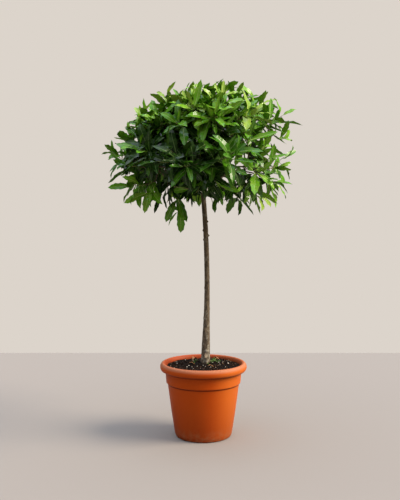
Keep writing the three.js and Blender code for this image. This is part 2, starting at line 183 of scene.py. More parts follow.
def object_place(tree):
    """A place in the object's own coordinates, in metres."""
    return add_node(tree, "ShaderNodeTexCoord").outputs["Object"]


def axis_of(tree, vector, axis):
    """One part of a vector: X, Y or Z."""
    return add_node(tree, "ShaderNodeSeparateXYZ", {0: vector}).outputs[axis]


def radius_of(tree, place):
    """How far a place lies from the Z axis."""
    level = add_node(tree, "ShaderNodeVectorMath", {0: place, 1: (1.0, 1.0, 0.0)}, operation="MULTIPLY")
    length = add_node(tree, "ShaderNodeVectorMath", {0: level.outputs[0]}, operation="LENGTH")
    return length.outputs["Value"]


def cloudy(tree, place, scale, detail, roughness=0.5, upright=1.0):
    """Noise from 0 to 1. Its scale up and down is upright times the scale across."""
    if upright != 1:
        stretch = add_node(tree, "ShaderNodeMapping", {"Scale": (1.0, 1.0, upright), "Vector": place})
        place = stretch.outputs[0]
    values = {"Vector": place, "Scale": scale, "Detail": detail, "Roughness": roughness}
    return add_node(tree, "ShaderNodeTexNoise", values).outputs["Fac"]


def bumped(tree, shader, height, strength, distance):
    """Gives a shader relief from a height, of a strength and of a depth in metres."""
    values = {"Height": height, "Strength": strength, "Distance": distance}
    tree.links.new(add_node(tree, "ShaderNodeBump", values).outputs[0], shader.inputs["Normal"])


def surface(name, **values):
    """A material with a Principled shader, its constant values on the shader's own sockets."""
    material = bpy.data.materials.new(name)
    material.use_nodes = True
    shader = material.node_tree.nodes["Principled BSDF"]
    for socket, value in values.items():
        shader.inputs[socket.replace("_", " ")].default_value = value
    return material, material.node_tree, shader


def moulded_polypropylene():
    """Satin moulded polypropylene: even colour with faint clouds, pale scuffs and dried splashes, with
    painted highlights and painted shade.
    """
    material, tree, shader = surface("moulded_polypropylene_terracotta", Roughness=0.5, IOR=1.49,
                                     Specular_IOR_Level=0.1)
    place = object_place(tree)
    across, height, radius = axis_of(tree, place, "X"), axis_of(tree, place, "Z"), radius_of(tree, place)
    # Faint clouds in the pigment, about 90 mm across.
    colour = mixed(tree, cloudy(tree, place, 11.0, 3.0), "#ac4003", "#b84b0a")
    # The right side, where the key light falls, is painted paler: a painted highlight of the satin
    # sheen.
    colour = mixed(tree, ranged(tree, across, 0.03, 0.11, 0.8), colour, "#c4631f")
    # The wall is painted darker and darker towards the foot, as painted shade.
    colour = mixed(tree, ranged(tree, height, 0.19, 0.0, 0.62), colour, "#7a3010")
    # Dried splashes and dust: strongest over the lowest 60 mm, in patches 25 mm across.
    splash = ranged(tree, cloudy(tree, place, 40.0, 6.0, 0.65), 0.4, 0.68)
    dusty = math_of(tree, "MULTIPLY", ranged(tree, height, 0.06, 0.002), splash)
    colour = mixed(tree, dusty, colour, "#97603e")
    # Short pale scuffs where hands and hose rub the roll and the collar, each a few mm long.
    scuff = ranged(tree, cloudy(tree, place, 95.0, 5.0, 0.7, 3.5), 0.6, 0.74, 0.4)
    worn = math_of(tree, "MULTIPLY", ranged(tree, height, 0.235, 0.305), scuff)
    colour = mixed(tree, worn, colour, "#cd7c52")
    # The top of the roll, on its outer half, from a radius of about 178 mm, is painted paler: a painted
    # highlight where the light from above falls.
    top, outer = ranged(tree, height, 0.306, 0.317, 0.8), ranged(tree, radius, 0.172, 0.184)
    colour = mixed(tree, math_of(tree, "MULTIPLY", top, outer), colour, "#ad7355")
    # The mouth is painted darker from the roll's inner half down: painted shade inside the pot, with a
    # stain from the wet compost.
    inner, upper = ranged(tree, radius, 0.183, 0.171, 0.62), ranged(tree, height, 0.29, 0.3)
    colour = mixed(tree, math_of(tree, "MULTIPLY", inner, upper), colour, "#84402c")
    # Shade is painted dark into the crease under the collar's lip and into the one under the roll:
    # painted shadow.
    crease_shade = []
    for crease, half in ((0.232, 0.0045), (0.2865, 0.008)):
        away = math_of(tree, "ABSOLUTE", math_of(tree, "SUBTRACT", height, crease))
        crease_shade.append(ranged(tree, away, half, 0.001, 0.78))
    colour = mixed(tree, math_of(tree, "MAXIMUM", *crease_shade), colour, "#4a1403")
    tree.links.new(colour, shader.inputs["Base Color"])
    # Dust and scuffs are duller than the moulded skin.
    dull = ranged(tree, math_of(tree, "ADD", dusty, worn), 0.0, 1.0, 0.75, 0.5)
    tree.links.new(dull, shader.inputs["Roughness"])
    # The skin's fine grain, real at 0.5 mm and drawn at 2 mm so that it shows.
    bumped(tree, shader, cloudy(tree, place, 480.0, 2.0), 0.12, 0.0006)
    return material


def pot_outline():
    """The pot's outline from the middle of its underside, round the roll, to its floor inside."""
    rim, mouth, neck = POT["rim_radius"], POT["mouth_radius"], POT["neck_radius"]
    top, foot, base = POT["body_top_radius"], POT["collar_foot"], POT["base_radius"]
    wall, floor = POT["wall"], POT["floor"]
    roll_middle = ((rim + mouth) / 2, POT["height"] - POT["roll_depth"] / 2)
    under_roll = POT["height"] - POT["roll_depth"]
    collar, knee, drains = top + POT["collar_step"], top - POT["knee_in"], POT["drain_circle"] + 15
    return [
        (0, 0), (40, 0), (drains, 0), (base - 10.5, 0),
        # The rounded foot, and the slight step of the mould's parting line above it.
        *arc((base - 10.5, 9), (10, 9), -90, -4, 7),
        (base - 0.4, 10.5), (base + 0.8, 12), (base + 1.5, 13.4), (base + 2.1, 17),
        (knee, POT["knee_height"]), (top - 0.6, foot - 3), (top, foot - 0.8),
        # The collar's lip.
        (top + 1.2, foot), (collar - 1.4, foot + 0.2), (collar - 0.2, foot + 1.2),
        (collar + 0.3, foot + 3), (collar + 0.6, foot + 9),
        # The crease under the roll, and the roll.
        (neck - 0.4, under_roll - 5), (neck + 0.6, under_roll + 0.6), (neck + 4, under_roll + 2.4),
        *arc(roll_middle, ((rim - mouth) / 2, POT["roll_depth"] / 2), -112, 186, 44),
        # The inside, down to the floor.
        (neck - wall + 1.5, under_roll + 6), (neck - wall, under_roll), (collar - wall, foot + 4),
        (top - wall, foot), (knee - wall, POT["knee_height"]), (base - wall + 2, floor + 6),
        (base - wall - 2, floor), (drains, floor), (40, floor), (0, floor),
    ]


pot = placed(made_from("pot_shell", turned(pot_outline(), POT["facets"])))
drill = bmesh.new()
for quarter in range(4):
    angle = quarter * math.pi / 2
    spot = (POT["drain_circle"] * math.cos(angle) * MM, POT["drain_circle"] * math.sin(angle) * MM, 0)
    bmesh.ops.create_cone(drill, cap_ends=True, segments=24, radius1=POT["drain_radius"] * MM,
                          radius2=POT["drain_radius"] * MM, depth=4 * POT["floor"] * MM,
                          matrix=Matrix.Translation(spot))
drill = placed(made_from("drill", drill))
cut = pot.modifiers.new("drain_holes", "BOOLEAN")
cut.object = drill
cut.operation = "DIFFERENCE"
cut.solver = "EXACT"
made_plain(pot)
bpy.data.objects.remove(drill)
shade(pot, 38)
pot.data.materials.clear()
pot.data.materials.append(moulded_polypropylene())
settle(pot, "pot", "pot")

# ---- Compost ----
# Moist, nearly black bark compost that fills the pot to 17 mm under its rim. Its surface is
# loose and uneven, and rises round the stem.
SOIL = {
    "edge_height": 306, "crest_height": 321, "flat_radius": 26, "gap": 0.5, "facets": 128,
    "relief": 3.3, "relief_scale": 38, "grit": 1.6, "grit_scale": 210, "still_radius": 4,
}


def bark_compost():
    """Moist bark compost: near-black and brown crumbs, dull, with a few wetter spots."""
    material, tree, shader = surface("moist_bark_compost", Roughness=0.9, IOR=1.4,
                                     Specular_IOR_Level=0.12)
    place = object_place(tree)
    # Crumbs of 3 to 8 mm, each of its own brown.
    crumbs = add_node(tree, "ShaderNodeTexVoronoi", {"Scale": 190.0, "Vector": place}).outputs["Color"]
    tone = add_node(tree, "ShaderNodeSeparateColor", {0: crumbs}).outputs[0]
    colour = ramped(tree, tone, (0.0, "#0c0603"), (0.55, "#150c06"), (1.0, "#2e1e13"))
    # Moist patches about 40 mm across are darker and shine a little.
    moist = ranged(tree, cloudy(tree, place, 25.0, 3.0), 0.4, 0.62)
    tree.links.new(mixed(tree, moist, colour, "#0b0604"), shader.inputs["Base Color"])
    tree.links.new(ranged(tree, moist, 0.0, 1.0, 0.62, 0.95), shader.inputs["Roughness"])
    bumped(tree, shader, cloudy(tree, place, 420.0, 4.0), 0.7, 0.0018)
    return material


def soil_outline():
    """The compost's outline inside the pot, from the floor up the wall and over its top."""
    inset, bottom, crest = POT["wall"] + SOIL["gap"], POT["floor"] + 0.5, SOIL["crest_height"]
    edge, top = POT["neck_radius"] - inset, POT["body_top_radius"] - inset
    over = [(edge * share, crest + (SOIL["edge_height"] - crest) * share ** 2)
            for share in np.linspace(1, SOIL["flat_radius"] / edge, 34)]
    flat = [(SOIL["flat_radius"] * share, crest) for share in (0.7, 0.4)]
    return [
        (0, bottom), (POT["base_radius"] - inset - 3, bottom),
        (top - POT["knee_in"], POT["knee_height"]), (top, POT["collar_foot"] - 1),
        (edge - 0.5, POT["height"] - POT["roll_depth"] - 2), *over, *flat, (0, crest),
    ]


compost = placed(made_from("compost_fill", turned(soil_outline(), SOIL["facets"])))
for vertex in compost.data.vertices:
    radius = math.hypot(vertex.co.x, vertex.co.y)
    if vertex.co.z > (SOIL["edge_height"] - 2) * MM and radius > SOIL["still_radius"] * MM:
        coarse = noise.fractal(vertex.co * SOIL["relief_scale"], 1.0, 2.0, 4)
        fine = noise.noise(vertex.co * SOIL["grit_scale"])
        vertex.co.z += (coarse * SOIL["relief"] + fine * SOIL["grit"]) * MM
shade(compost, 60)
COMPOST = bark_compost()
compost.data.materials.append(COMPOST)
settle(compost, "compost", "compost")

# ---- Crumbs and grit on the compost ----
# Loose chips of bark, crumbs of peat and white grains of expanded perlite lie on the compost.
# They are scattered over its top by one node tree, each kind with its own size and number.
def lump(name, seed, stretch):
    """A broken lump about 2 units across: an icosphere with its corners pushed in and out."""
    bm = bmesh.new()
    bmesh.ops.create_icosphere(bm, subdivisions=1, radius=1.0)
    for corner in bm.verts:
        push = 1 + 0.42 * noise.noise(corner.co * 1.4 + Vector((seed * 7.3, seed * 3.1, seed * 5.7)))
        corner.co = corner.co * Vector(stretch) * push
    return made_from(name, bm)


def shape_kit(name, shapes):
    """A collection of shapes for a node tree to pick from. It isn't in the scene."""
    kit = bpy.data.collections.new(name)
    for shape in shapes:
        kit.objects.link(shape)
    return kit


def discard(kit):
    """Removes a collection and its shapes."""
    for shape in list(kit.objects):
        bpy.data.objects.remove(shape)
    bpy.data.collections.remove(kit)


def new_tree(name, inputs):
    """A geometry node tree with named inputs, and its group input and output nodes."""
    tree = bpy.data.node_groups.new(name, "GeometryNodeTree")
    for label, kind in {"Geometry": "Geometry", **inputs}.items():
        tree.interface.new_socket(label, in_out="INPUT", socket_type="NodeSocket" + kind)
    tree.interface.new_socket("Geometry", in_out="OUTPUT", socket_type="NodeSocketGeometry")
    return tree, tree.nodes.new("NodeGroupInput").outputs, tree.nodes.new("NodeGroupOutput").inputs


def run_tree(piece, tree, values):
    """Runs a node tree on a piece with values for its named inputs, and keeps the plain result."""
    modifier = piece.modifiers.new(tree.name, "NODES")
    modifier.node_group = tree
    for item in tree.interface.items_tree:
        if item.item_type == "SOCKET" and item.in_out == "INPUT" and item.name in values:
            modifier[item.identifier] = values[item.name]
    return made_plain(piece)


def compared(tree, first, operation, second, data_type="FLOAT"):
    """Whether a value is GREATER_THAN, LESS_THAN or EQUAL to a second."""
    return add_node(tree, "FunctionNodeCompare", {"A": first, "B": second}, data_type=data_type,
                    operation=operation).outputs[0]


def random_of(tree, data_type, values, seed):
    """A Random Value node's outputs, for values by the number of its socket."""
    values = {**values, "Seed": seed}
    return add_node(tree, "FunctionNodeRandomValue", values, data_type=data_type).outputs


def instanced(tree, points, kit, kind, rotation, scale):
    """Sets one of a collection's shapes on each point, as real geometry."""
    shapes = add_node(tree, "GeometryNodeCollectionInfo", {
        "Collection": kit, "Separate Children": True, "Reset Children": True})
    copies = add_node(tree, "GeometryNodeInstanceOnPoints", {
        "Points": points, "Instance": shapes.outputs[0], "Pick Instance": True,
        "Instance Index": kind, "Rotation": rotation, "Scale": scale})
    return add_node(tree, "GeometryNodeRealizeInstances", {0: copies.outputs[0]}).outputs[0]


def painted(tree, geometry, material, chosen=True):
    """Geometry with a material on its chosen faces."""
    return add_node(tree, "GeometryNodeSetMaterial", {
        "Geometry": geometry, "Selection": chosen, "Material": material}).outputs[0]


def scatter_tree():
    """Scatters turned and resized lumps over the upward faces of a surface, between two radii."""
    tree, given, result = new_tree("lumps_over_compost", {
        "Lumps": "Collection", "Per Square Metre": "Float", "Apart": "Float", "Smallest": "Float",
        "Largest": "Float", "Ring Inside": "Float", "Ring Outside": "Float", "Seed": "Int",
        "Material": "Material"})
    radius = radius_of(tree, add_node(tree, "GeometryNodeInputPosition").outputs[0])
    upward = axis_of(tree, add_node(tree, "GeometryNodeInputNormal").outputs[0], "Z")
    ring = add_node(tree, "FunctionNodeBooleanMath", {
        0: compared(tree, radius, "GREATER_THAN", given["Ring Inside"]),
        1: compared(tree, radius, "LESS_THAN", given["Ring Outside"])}, operation="AND")
    chosen = add_node(tree, "FunctionNodeBooleanMath", {
        0: ring.outputs[0], 1: compared(tree, upward, "GREATER_THAN", 0.5)}, operation="AND")
    points = add_node(tree, "GeometryNodeDistributePointsOnFaces", {
        "Mesh": given["Geometry"], "Selection": chosen.outputs[0], "Distance Min": given["Apart"],
        "Density Max": given["Per Square Metre"], "Seed": given["Seed"]}, distribute_method="POISSON")
    turn = random_of(tree, "FLOAT_VECTOR", {1: (6.283, 6.283, 6.283)}, given["Seed"])[0]
    size = random_of(tree, "FLOAT", {2: given["Smallest"], 3: given["Largest"]}, given["Seed"])[1]
    kind = random_of(tree, "INT", {4: 0, 5: 2}, given["Seed"])[2]
    lumps = instanced(tree, points.outputs["Points"], given["Lumps"], kind, turn, size)
    tree.links.new(painted(tree, lumps, given["Material"]), result[0])
    return tree


def expanded_perlite():
    """Expanded perlite: soft white grains, stained a little by the compost."""
    material, tree, shader = surface("expanded_perlite", Roughness=0.85, IOR=1.5)
    tone = mixed(tree, cloudy(tree, object_place(tree), 160.0, 2.0), "#a99a80", "#efe9dc")
    tree.links.new(tone, shader.inputs["Base Color"])
    return material


def dry_bark_chips():
    """Chips of pine bark: grey-brown where dry, red-brown where broken."""
    material, tree, shader = surface("dry_bark_chips", Roughness=0.85, IOR=1.45, Specular_IOR_Level=0.2)
    patch = cloudy(tree, object_place(tree), 70.0, 3.0)
    tone = ramped(tree, patch, (0.35, "#21160e"), (0.5, "#34221a"), (0.68, "#6f563c"))
    tree.links.new(tone, shader.inputs["Base Color"])
    return material


LUMPS_TREE = scatter_tree()
LOOSE = [
    # name, stretch of the lump, per square metre, apart, smallest, largest, seed, material,
    # with sizes in metres
    ("compost_crumbs", (1.0, 0.8, 0.6), 26000.0, 0.0042, 0.0014, 0.0036, 11, COMPOST),
    ("bark_chips", (1.5, 0.8, 0.4), 2300.0, 0.013, 0.0028, 0.0066, 23, dry_bark_chips()),
    ("perlite_grains", (1.0, 0.9, 0.8), 760.0, 0.019, 0.0012, 0.0036, 35, expanded_perlite()),
]
LOOSE_RING = (0.0, 0.1545)
for name, stretch, density, apart, smallest, largest, seed, material in LOOSE:
    kinds = shape_kit(name + "_kinds", [lump(f"{name}_{i}", seed + i, stretch) for i in range(3)])
    piece = placed(bpy.data.objects.new(name, compost.data.copy()))
    run_tree(piece, LUMPS_TREE, {
        "Lumps": kinds, "Per Square Metre": density, "Apart": apart, "Smallest": smallest,
        "Largest": largest, "Ring Inside": LOOSE_RING[0], "Ring Outside": LOOSE_RING[1],
        "Seed": seed, "Material": material})
    discard(kinds)
    shade(piece, 50)
    settle(piece, "compost")

# ---- Stem ----
# One clear stem of a young bay, bowed a little to the right, with grey-brown bark that is smooth
# but finely cracked. It swells into roots at the compost, and has knots where side shoots were
# rubbed off and a pale scar near its foot.
STEM = {
    "foot_x": 8, "tip_x": -14, "bow": 18, "sway": 5, "foot_height": 321.3, "tip_height": 1232,
    "shaft_radius": 12.2, "shoulder_radius": 10.6, "tip_radius": 6.5,
    "flare": 7.5, "flare_reach": 170, "root_lobes": 5, "lobe": 2.4, "lobe_reach": 34,
    "buried": 9, "sides": 48, "ring": 3.4,
}
# The bark's relief in mm: how deep it is, the size of its cracks, swellings and ripples, and the
# share of each in the depth.
BARK = {
    "depth": 0.62, "crack_width": 3.6, "crack_length": 16.2, "swelling": 26, "ripple_width": 30,
    "ripple_height": 7, "crack_share": 0.55, "swelling_share": 0.6, "ripple_share": 0.35,
}
# Height in mm, angle in degrees from +X, how far it stands out and its half width in mm.
KNOTS = [
    (888, -12, 6.5, 5.0), (950, -20, 5.5, 4.5), (912, 188, 3.6, 5.0), (870, 172, 3.2, 4.5),
    (760, -60, 1.6, 7.0), (655, 215, 1.8, 8.0), (560, 10, 1.7, 7.0), (470, -120, 2.0, 8.0),
    (1003, 80, 4.5, 4.5), (820, 100, 2.6, 6.0), (420, 120, 1.8, 9.0), (372, -70, 2.2, 9.0),
    (700, 20, 1.4, 6.0), (610, -100, 1.3, 6.0), (520, 160, 1.5, 7.0),
]
# How steeply a knot rises, and the shallow ditch round it.
KNOT_SHAPE = {"steepness": 1.6, "ditch": 0.18, "ditch_at": 1.9, "ditch_steepness": 3}
# The scar's height in mm, angle in degrees, half width and half length in mm, how deep it is sunk
# and the lip round it.
SCAR = {"spot": (357, -82, 7, 13), "depth": 1.3, "lip": 0.9, "lip_at": 1.25, "lip_steepness": 9}


def between(value, start, end):
    """How far a value lies from a start to an end, as a share from 0 to 1."""
    return min(max((value - start) / (end - start), 0), 1)


def blend(first, last, share):
    """The value at a share of the way from a first one to a last."""
    return first + (last - first) * share


def stem_point(share):
    """The stem's centre line, from the compost at 0 to its tip at 1."""
    return np.array([
        blend(STEM["foot_x"], STEM["tip_x"], share) + STEM["bow"] * math.sin(math.pi * share),
        STEM["sway"] * math.sin(2 * math.pi * share),
        blend(STEM["foot_height"], STEM["tip_height"], share),
    ])


def stem_share(height):
    """How far up the stem a height is."""
    return (height - STEM["foot_height"]) / (STEM["tip_height"] - STEM["foot_height"])


def stem_radius(share):
    """The stem's radius: a slow taper to the shoulder at 0.8, then a faster one, and the flare."""
    if share < 0.8:
        shaft = np.interp(share, [0, 0.8], [STEM["shaft_radius"], STEM["shoulder_radius"]])
    else:
        shaft = np.interp(share, [0.8, 1], [STEM["shoulder_radius"], STEM["tip_radius"]])
    above = max(share, 0) * (STEM["tip_height"] - STEM["foot_height"])
    return shaft + STEM["flare"] * math.exp(-((above / STEM["flare_reach"]) ** 2))


def tube(bm, points, radius_at, sides):
    """A closed tube along points in mm. radius_at takes the ring's number and the angle."""
    points = [Vector(p) for p in points]
    ways = [(points[min(i + 1, len(points) - 1)] - points[max(i - 1, 0)]).normalized()
            for i in range(len(points))]
    # The angle runs from the side that faces +X, or as near to it as the limb allows.
    side = (Vector((1, 0, 0)) - ways[0] * ways[0].x).normalized()
    rings = []
    for number, (point, way) in enumerate(zip(points, ways)):
        side = (side - way * side.dot(way)).normalized()
        across = way.cross(side)
        ring = []
        for i in range(sides):
            angle = 2 * math.pi * i / sides
            out = side * math.cos(angle) + across * math.sin(angle)
            ring.append(bm.verts.new((point + out * radius_at(number, angle)) * MM))
        rings.append(ring)
    for low, high in zip(rings, rings[1:]):
        for i in range(sides):
            j = (i + 1) % sides
            bm.faces.new((low[i], low[j], high[j], high[i]))
    bm.faces.new(rings[0][::-1])
    bm.faces.new(rings[-1])


def cracked(point):
    """How far the bark stands out at a point in mm: fine cracks along it, low ripples across."""
    width, ripple = BARK["crack_width"], BARK["ripple_width"]
    run = Vector((point.x / width, point.y / width, point.z / BARK["crack_length"]))
    ridge = 1 - abs(noise.noise(run)) * 2
    swelling = noise.noise(point / BARK["swelling"])
    wave = noise.noise(Vector((point.x / ripple, point.y / ripple, point.z / BARK["ripple_height"])))
    return BARK["depth"] * (BARK["crack_share"] * ridge + BARK["swelling_share"] * swelling
                            + BARK["ripple_share"] * wave)


def bay_bark():
    """Bay bark on the stem: smooth and grey-brown, finely cracked along, browner towards the top."""
    material, tree, shader = surface("grey_brown_bay_bark", Roughness=0.82, IOR=1.45)
    place = object_place(tree)
    height = axis_of(tree, place, "Z")
    up = ranged(tree, height, 0.33, 1.05)
    tone = ramped(tree, up, (0.0, "#857660"), (0.28, "#76664f"), (1.0, "#66563a"))
    # Streaks along the bark, 3 mm wide and 25 mm long.
    streak = cloudy(tree, place, 300.0, 5.0, 0.65, 0.12)
    colour = mixed(tree, ranged(tree, streak, 0.38, 0.66), "#3c3122", tone)
    # Darker, damper patches about 12 mm wide and 40 mm long.
    damp = ranged(tree, cloudy(tree, place, 85.0, 4.0, 0.6, 0.32), 0.52, 0.66, 0.72)
    colour = mixed(tree, damp, colour, "#332819")
    # Pale grey lichen in patches of 20 to 30 mm, mostly over the lowest 200 mm.
    lichen = ranged(tree, cloudy(tree, place, 46.0, 5.0, 0.6), 0.52, 0.66)
    grown = math_of(tree, "MULTIPLY", lichen, ranged(tree, height, 0.62, 0.36, 0.8, 0.25))
    colour = mixed(tree, grown, colour, "#a09c8c")
    # Bare wood in the scar, from the mesh's own attribute.
    bare = add_node(tree, "ShaderNodeAttribute", attribute_name="bare_wood").outputs["Fac"]
    tree.links.new(mixed(tree, bare, colour, "#c4b194"), shader.inputs["Base Color"])
    bumped(tree, shader, streak, 0.55, 0.0011)
    return material


bark_of_stem = bmesh.new()
bare_wood = bark_of_stem.verts.layers.float.new("bare_wood")
heights = np.arange(STEM["foot_height"] - STEM["buried"], STEM["tip_height"], STEM["ring"])
shares = [stem_share(height) for height in heights]


def away_from(spot, angle, radius, height):
    """How far a place on the bark lies from a spot's middle, as a share of its half size."""
    spot_height, spot_angle, half_width, half_length = spot
    turn = math.remainder(angle - math.radians(spot_angle), 2 * math.pi) * radius
    return math.hypot(turn / half_width, (height - spot_height) / half_length)


def barked_radius(ring, angle):
    """The stem's radius with its roots, its knots and the sunk scar."""
    share, height = shares[ring], heights[ring]
    above = max(share, 0) * (STEM["tip_height"] - STEM["foot_height"])
    radius = stem_radius(share)
    radius += STEM["lobe"] * math.cos(STEM["root_lobes"] * angle) * math.exp(-above / STEM["lobe_reach"])
    for knot_height, knot_angle, proud, half in KNOTS:
        away = away_from((knot_height, knot_angle, half, half), angle, radius, height)
        ditch = math.exp(-((away - KNOT_SHAPE["ditch_at"]) ** 2) * KNOT_SHAPE["ditch_steepness"])
        knot = math.exp(-(away ** 2) * KNOT_SHAPE["steepness"])
        radius += proud * (knot - KNOT_SHAPE["ditch"] * ditch)
    sunk = away_from(SCAR["spot"], angle, radius, height)
    lip = SCAR["lip"] * math.exp(-((sunk - SCAR["lip_at"]) ** 2) * SCAR["lip_steepness"])
    return radius - SCAR["depth"] * math.exp(-(sunk ** 4) * 1.5) + lip


tube(bark_of_stem, [stem_point(share) for share in shares], barked_radius, STEM["sides"])
for vertex in bark_of_stem.verts:
    middle = Vector(stem_point(stem_share(vertex.co.z / MM))) * MM
    out = Vector((vertex.co.x - middle.x, vertex.co.y - middle.y, 0))
    vertex.co += out.normalized() * cracked(vertex.co / MM) * MM
    sunk = away_from(SCAR["spot"], math.atan2(out.y, out.x), out.length / MM, vertex.co.z / MM)
    vertex[bare_wood] = 0.85 * between(sunk, 1.05, 0.8)
stem = placed(made_from("stem_bark", bark_of_stem))
shade(stem, 70)
STEM_BARK = bay_bark()
stem.data.materials.append(STEM_BARK)
settle(stem, "bark", "stem")

# ---- Boughs ----
# Eleven main boughs leave the stem at their own forks between 1.07 and 1.20 m, swollen where
# they join it, and curve up into the head. Each carries one mass of twigs and leaves.
HEAD = {
    "heart_x": -15, "heart_height": 1200, "side": 450, "up": 395, "down": 250, "squareness": 2.2,
    "blend": 8,
}
# Name, azimuth, elevation in degrees, reach as a share of the head's outline, height of the fork.
MASSES = [
    ("front", 270, -4, 0.98, 1092), ("front_right", 330, -4, 1.01, 1128),
    ("back_right", 30, -4, 1.02, 1074), ("back", 90, -4, 0.98, 1118),
    ("back_left", 150, -4, 0.99, 1086), ("front_left", 210, -4, 1.0, 1134),
    ("upper_front", 272, 42, 0.97, 1184), ("upper_right", 344, 42, 1.1, 1162),
    ("upper_back_right", 56, 42, 1.04, 1196), ("upper_back_left", 128, 42, 0.96, 1152),
    ("upper_left", 200, 42, 0.87, 1174), ("top", 0, 90, 1.02, None),
]
# The low spray's youth is a share of painted light that makes its leaves' tints paler.
LOW_SPRAY = {
    "azimuth": 236, "elevation": -60, "extra": 0.34, "narrowness": 50, "leaves": 5, "youth": 0.1,
}
BOUGH = {
    "base_radius": 5.6, "tip_radius": 4, "entry": 0.4, "rise": 26, "collar": 3.2, "collar_reach": 9,
    "roughness": 0.45, "rough_size": 11, "sides": 14, "ring": 4.5,
}
UP = np.array([0.0, 0.0, 1.0])


def unit(vector):
    """A vector at length 1."""
    return vector / np.linalg.norm(vector)


def direction_of(azimuth, elevation):
    """The unit vector at an azimuth from +X and an elevation above level, in degrees."""
    a, e = math.radians(azimuth), math.radians(elevation)
    return np.array([math.cos(a) * math.cos(e), math.sin(a) * math.cos(e), math.sin(e)])


HEART = np.array([HEAD["heart_x"], 0.0, HEAD["heart_height"]])
MASS_WAYS = np.array([direction_of(azimuth, elevation) for _, azimuth, elevation, _, _ in MASSES])
MASS_REACHES = np.array([reach for _, _, _, reach, _ in MASSES])
LOW_WAY = direction_of(LOW_SPRAY["azimuth"], LOW_SPRAY["elevation"])


def head_reach(way):
    """How far the head reaches from its heart in a direction."""
    square = HEAD["squareness"]
    level = math.hypot(way[0], way[1]) / HEAD["side"]
    upright = abs(way[2]) / (HEAD["up"] if way[2] > 0 else HEAD["down"])
    oval = (level ** square + upright ** square) ** (-1 / square)
    weights = np.maximum(0, MASS_WAYS @ way) ** HEAD["blend"]
    hanging = LOW_SPRAY["extra"] * max(0, float(way @ LOW_WAY)) ** LOW_SPRAY["narrowness"]
    return oval * (float(weights @ MASS_REACHES) / float(weights.sum()) + hanging)


def along_mass(index, share):
    """The point at a share of the head's reach down the middle of a mass."""
    return HEART + MASS_WAYS[index] * head_reach(MASS_WAYS[index]) * share


def smooth_line(corners, steps):
    """Points evenly spaced along a Bezier curve of three or four corners."""
    t = np.linspace(0, 1, 61)[:, None]
    degree = len(corners) - 1
    curve = sum(math.comb(degree, k) * t ** k * (1 - t) ** (degree - k) * np.asarray(corner)
                for k, corner in enumerate(corners))
    run = np.concatenate([[0], np.cumsum(np.linalg.norm(np.diff(curve, axis=0), axis=1))])
    spots = np.linspace(0, run[-1], steps + 1)
    return np.stack([np.interp(spots, run, curve[:, axis]) for axis in range(3)], axis=1)


def point_on(line, share):
    """The point at a share of an evenly spaced line."""
    spot = min(max(share, 0), 1) * (len(line) - 1)
    low = min(int(spot), len(line) - 2)
    return line[low] + (line[low + 1] - line[low]) * (spot - low)


def heading_on(line, share):
    """The line's unit heading at a share of its length."""
    low = min(int(min(max(share, 0), 1) * (len(line) - 1)), len(line) - 2)
    return unit(line[low + 1] - line[low])


bark_of_boughs = bmesh.new()
bough_lines = {}
for index, (name, _, _, _, fork_height) in enumerate(MASSES):
    if fork_height is None:
        continue
    start = stem_point(stem_share(fork_height))
    end = along_mass(index, BOUGH["entry"])
    knee = (start + end) / 2 + UP * BOUGH["rise"]
    line = smooth_line([start, knee, end], max(8, int(np.linalg.norm(end - start) / BOUGH["ring"])))
    bough_lines[index] = line
    step = np.linalg.norm(line[1] - line[0])

    def bough_radius(ring, angle):
        """The bough's radius, with the collar that it swells into at the stem."""
        share = ring / (len(line) - 1)
        taper = blend(BOUGH["base_radius"], BOUGH["tip_radius"], share)
        past = max(ring * step - BOUGH["collar_reach"], 0)
        swelling = BOUGH["collar"] * math.exp(-past / BOUGH["collar_reach"])
        around = Vector((math.cos(angle), math.sin(angle), index))
        rough = noise.noise(Vector(line[ring]) / BOUGH["rough_size"] + around)
        return taper + swelling + BOUGH["roughness"] * rough

    tube(bark_of_boughs, line, bough_radius, BOUGH["sides"])
boughs = placed(made_from("boughs_bark", bark_of_boughs))
shade(boughs, 70)
boughs.data.materials.append(STEM_BARK)
settle(boughs, "bark", *["bough_" + MASSES[index][0] for index in bough_lines])

# ---- Twigs ----
# From the end of each bough a thin stem runs on into the mass, and twigs fork from it towards
# the tips of the shoots. They are woody and brown inside the head, and green at the young ends.
# Each new twig leaves the nearest node that has its tip ahead of it, as in the plant's solids,
# and a second, finer set of twigs then forks from the first.
# A twig's nodes are the places where others may fork off, each as a share of its line and as the
# share that gives its heading and its radius there.
TWIG = {
    "stem_end": 0.62, "stem_radius": 3.8, "stem_tip_radius": 3.2, "thinning": 0.85,
    "tip_radius": 1.7, "fine_radius": 1.9, "fine_tip_radius": 1.25, "lift": 0.25, "bend": 0.55,
    "forward": 1.7, "steps": 7, "green_end": 55, "overlap": 3, "sides": 5,
    "stem_nodes": [(0.97 / 3, 1 / 3), (1.94 / 3, 2 / 3), (0.97, 1)], "nodes": [(0.4, 0.4), (0.7, 0.7)],
}
SHOOTS = {"count": 90, "lowest": -56, "short": 96, "inner": 0.56, "jitter": 14, "tuck": 0.12}
# How deep each fine shoot ends in turn, as a share of the head's outline, or None near its edge.
FINE_SHOOTS = {
    "count": 360, "lowest": -50, "short": 84, "low_short": 20, "jitter": 26, "drift": 0.2,
    "tuck": 0.06, "sway": 0.5, "rare_below": -0.3,
    "depths": [None, 0.6, 0.42, None, 0.72, 0.5, 0.34],
}
# How far leaves reach, as a share of the head's outline: the usual share, how much less of it
# low down, the share of shoots that reach all of it, up high and low down, and how far those reach.
ROOM = {"usual": 0.945, "low": 0.2, "long": 0.42, "long_low": 0.16, "all": 1.03, "stray": 0.04}
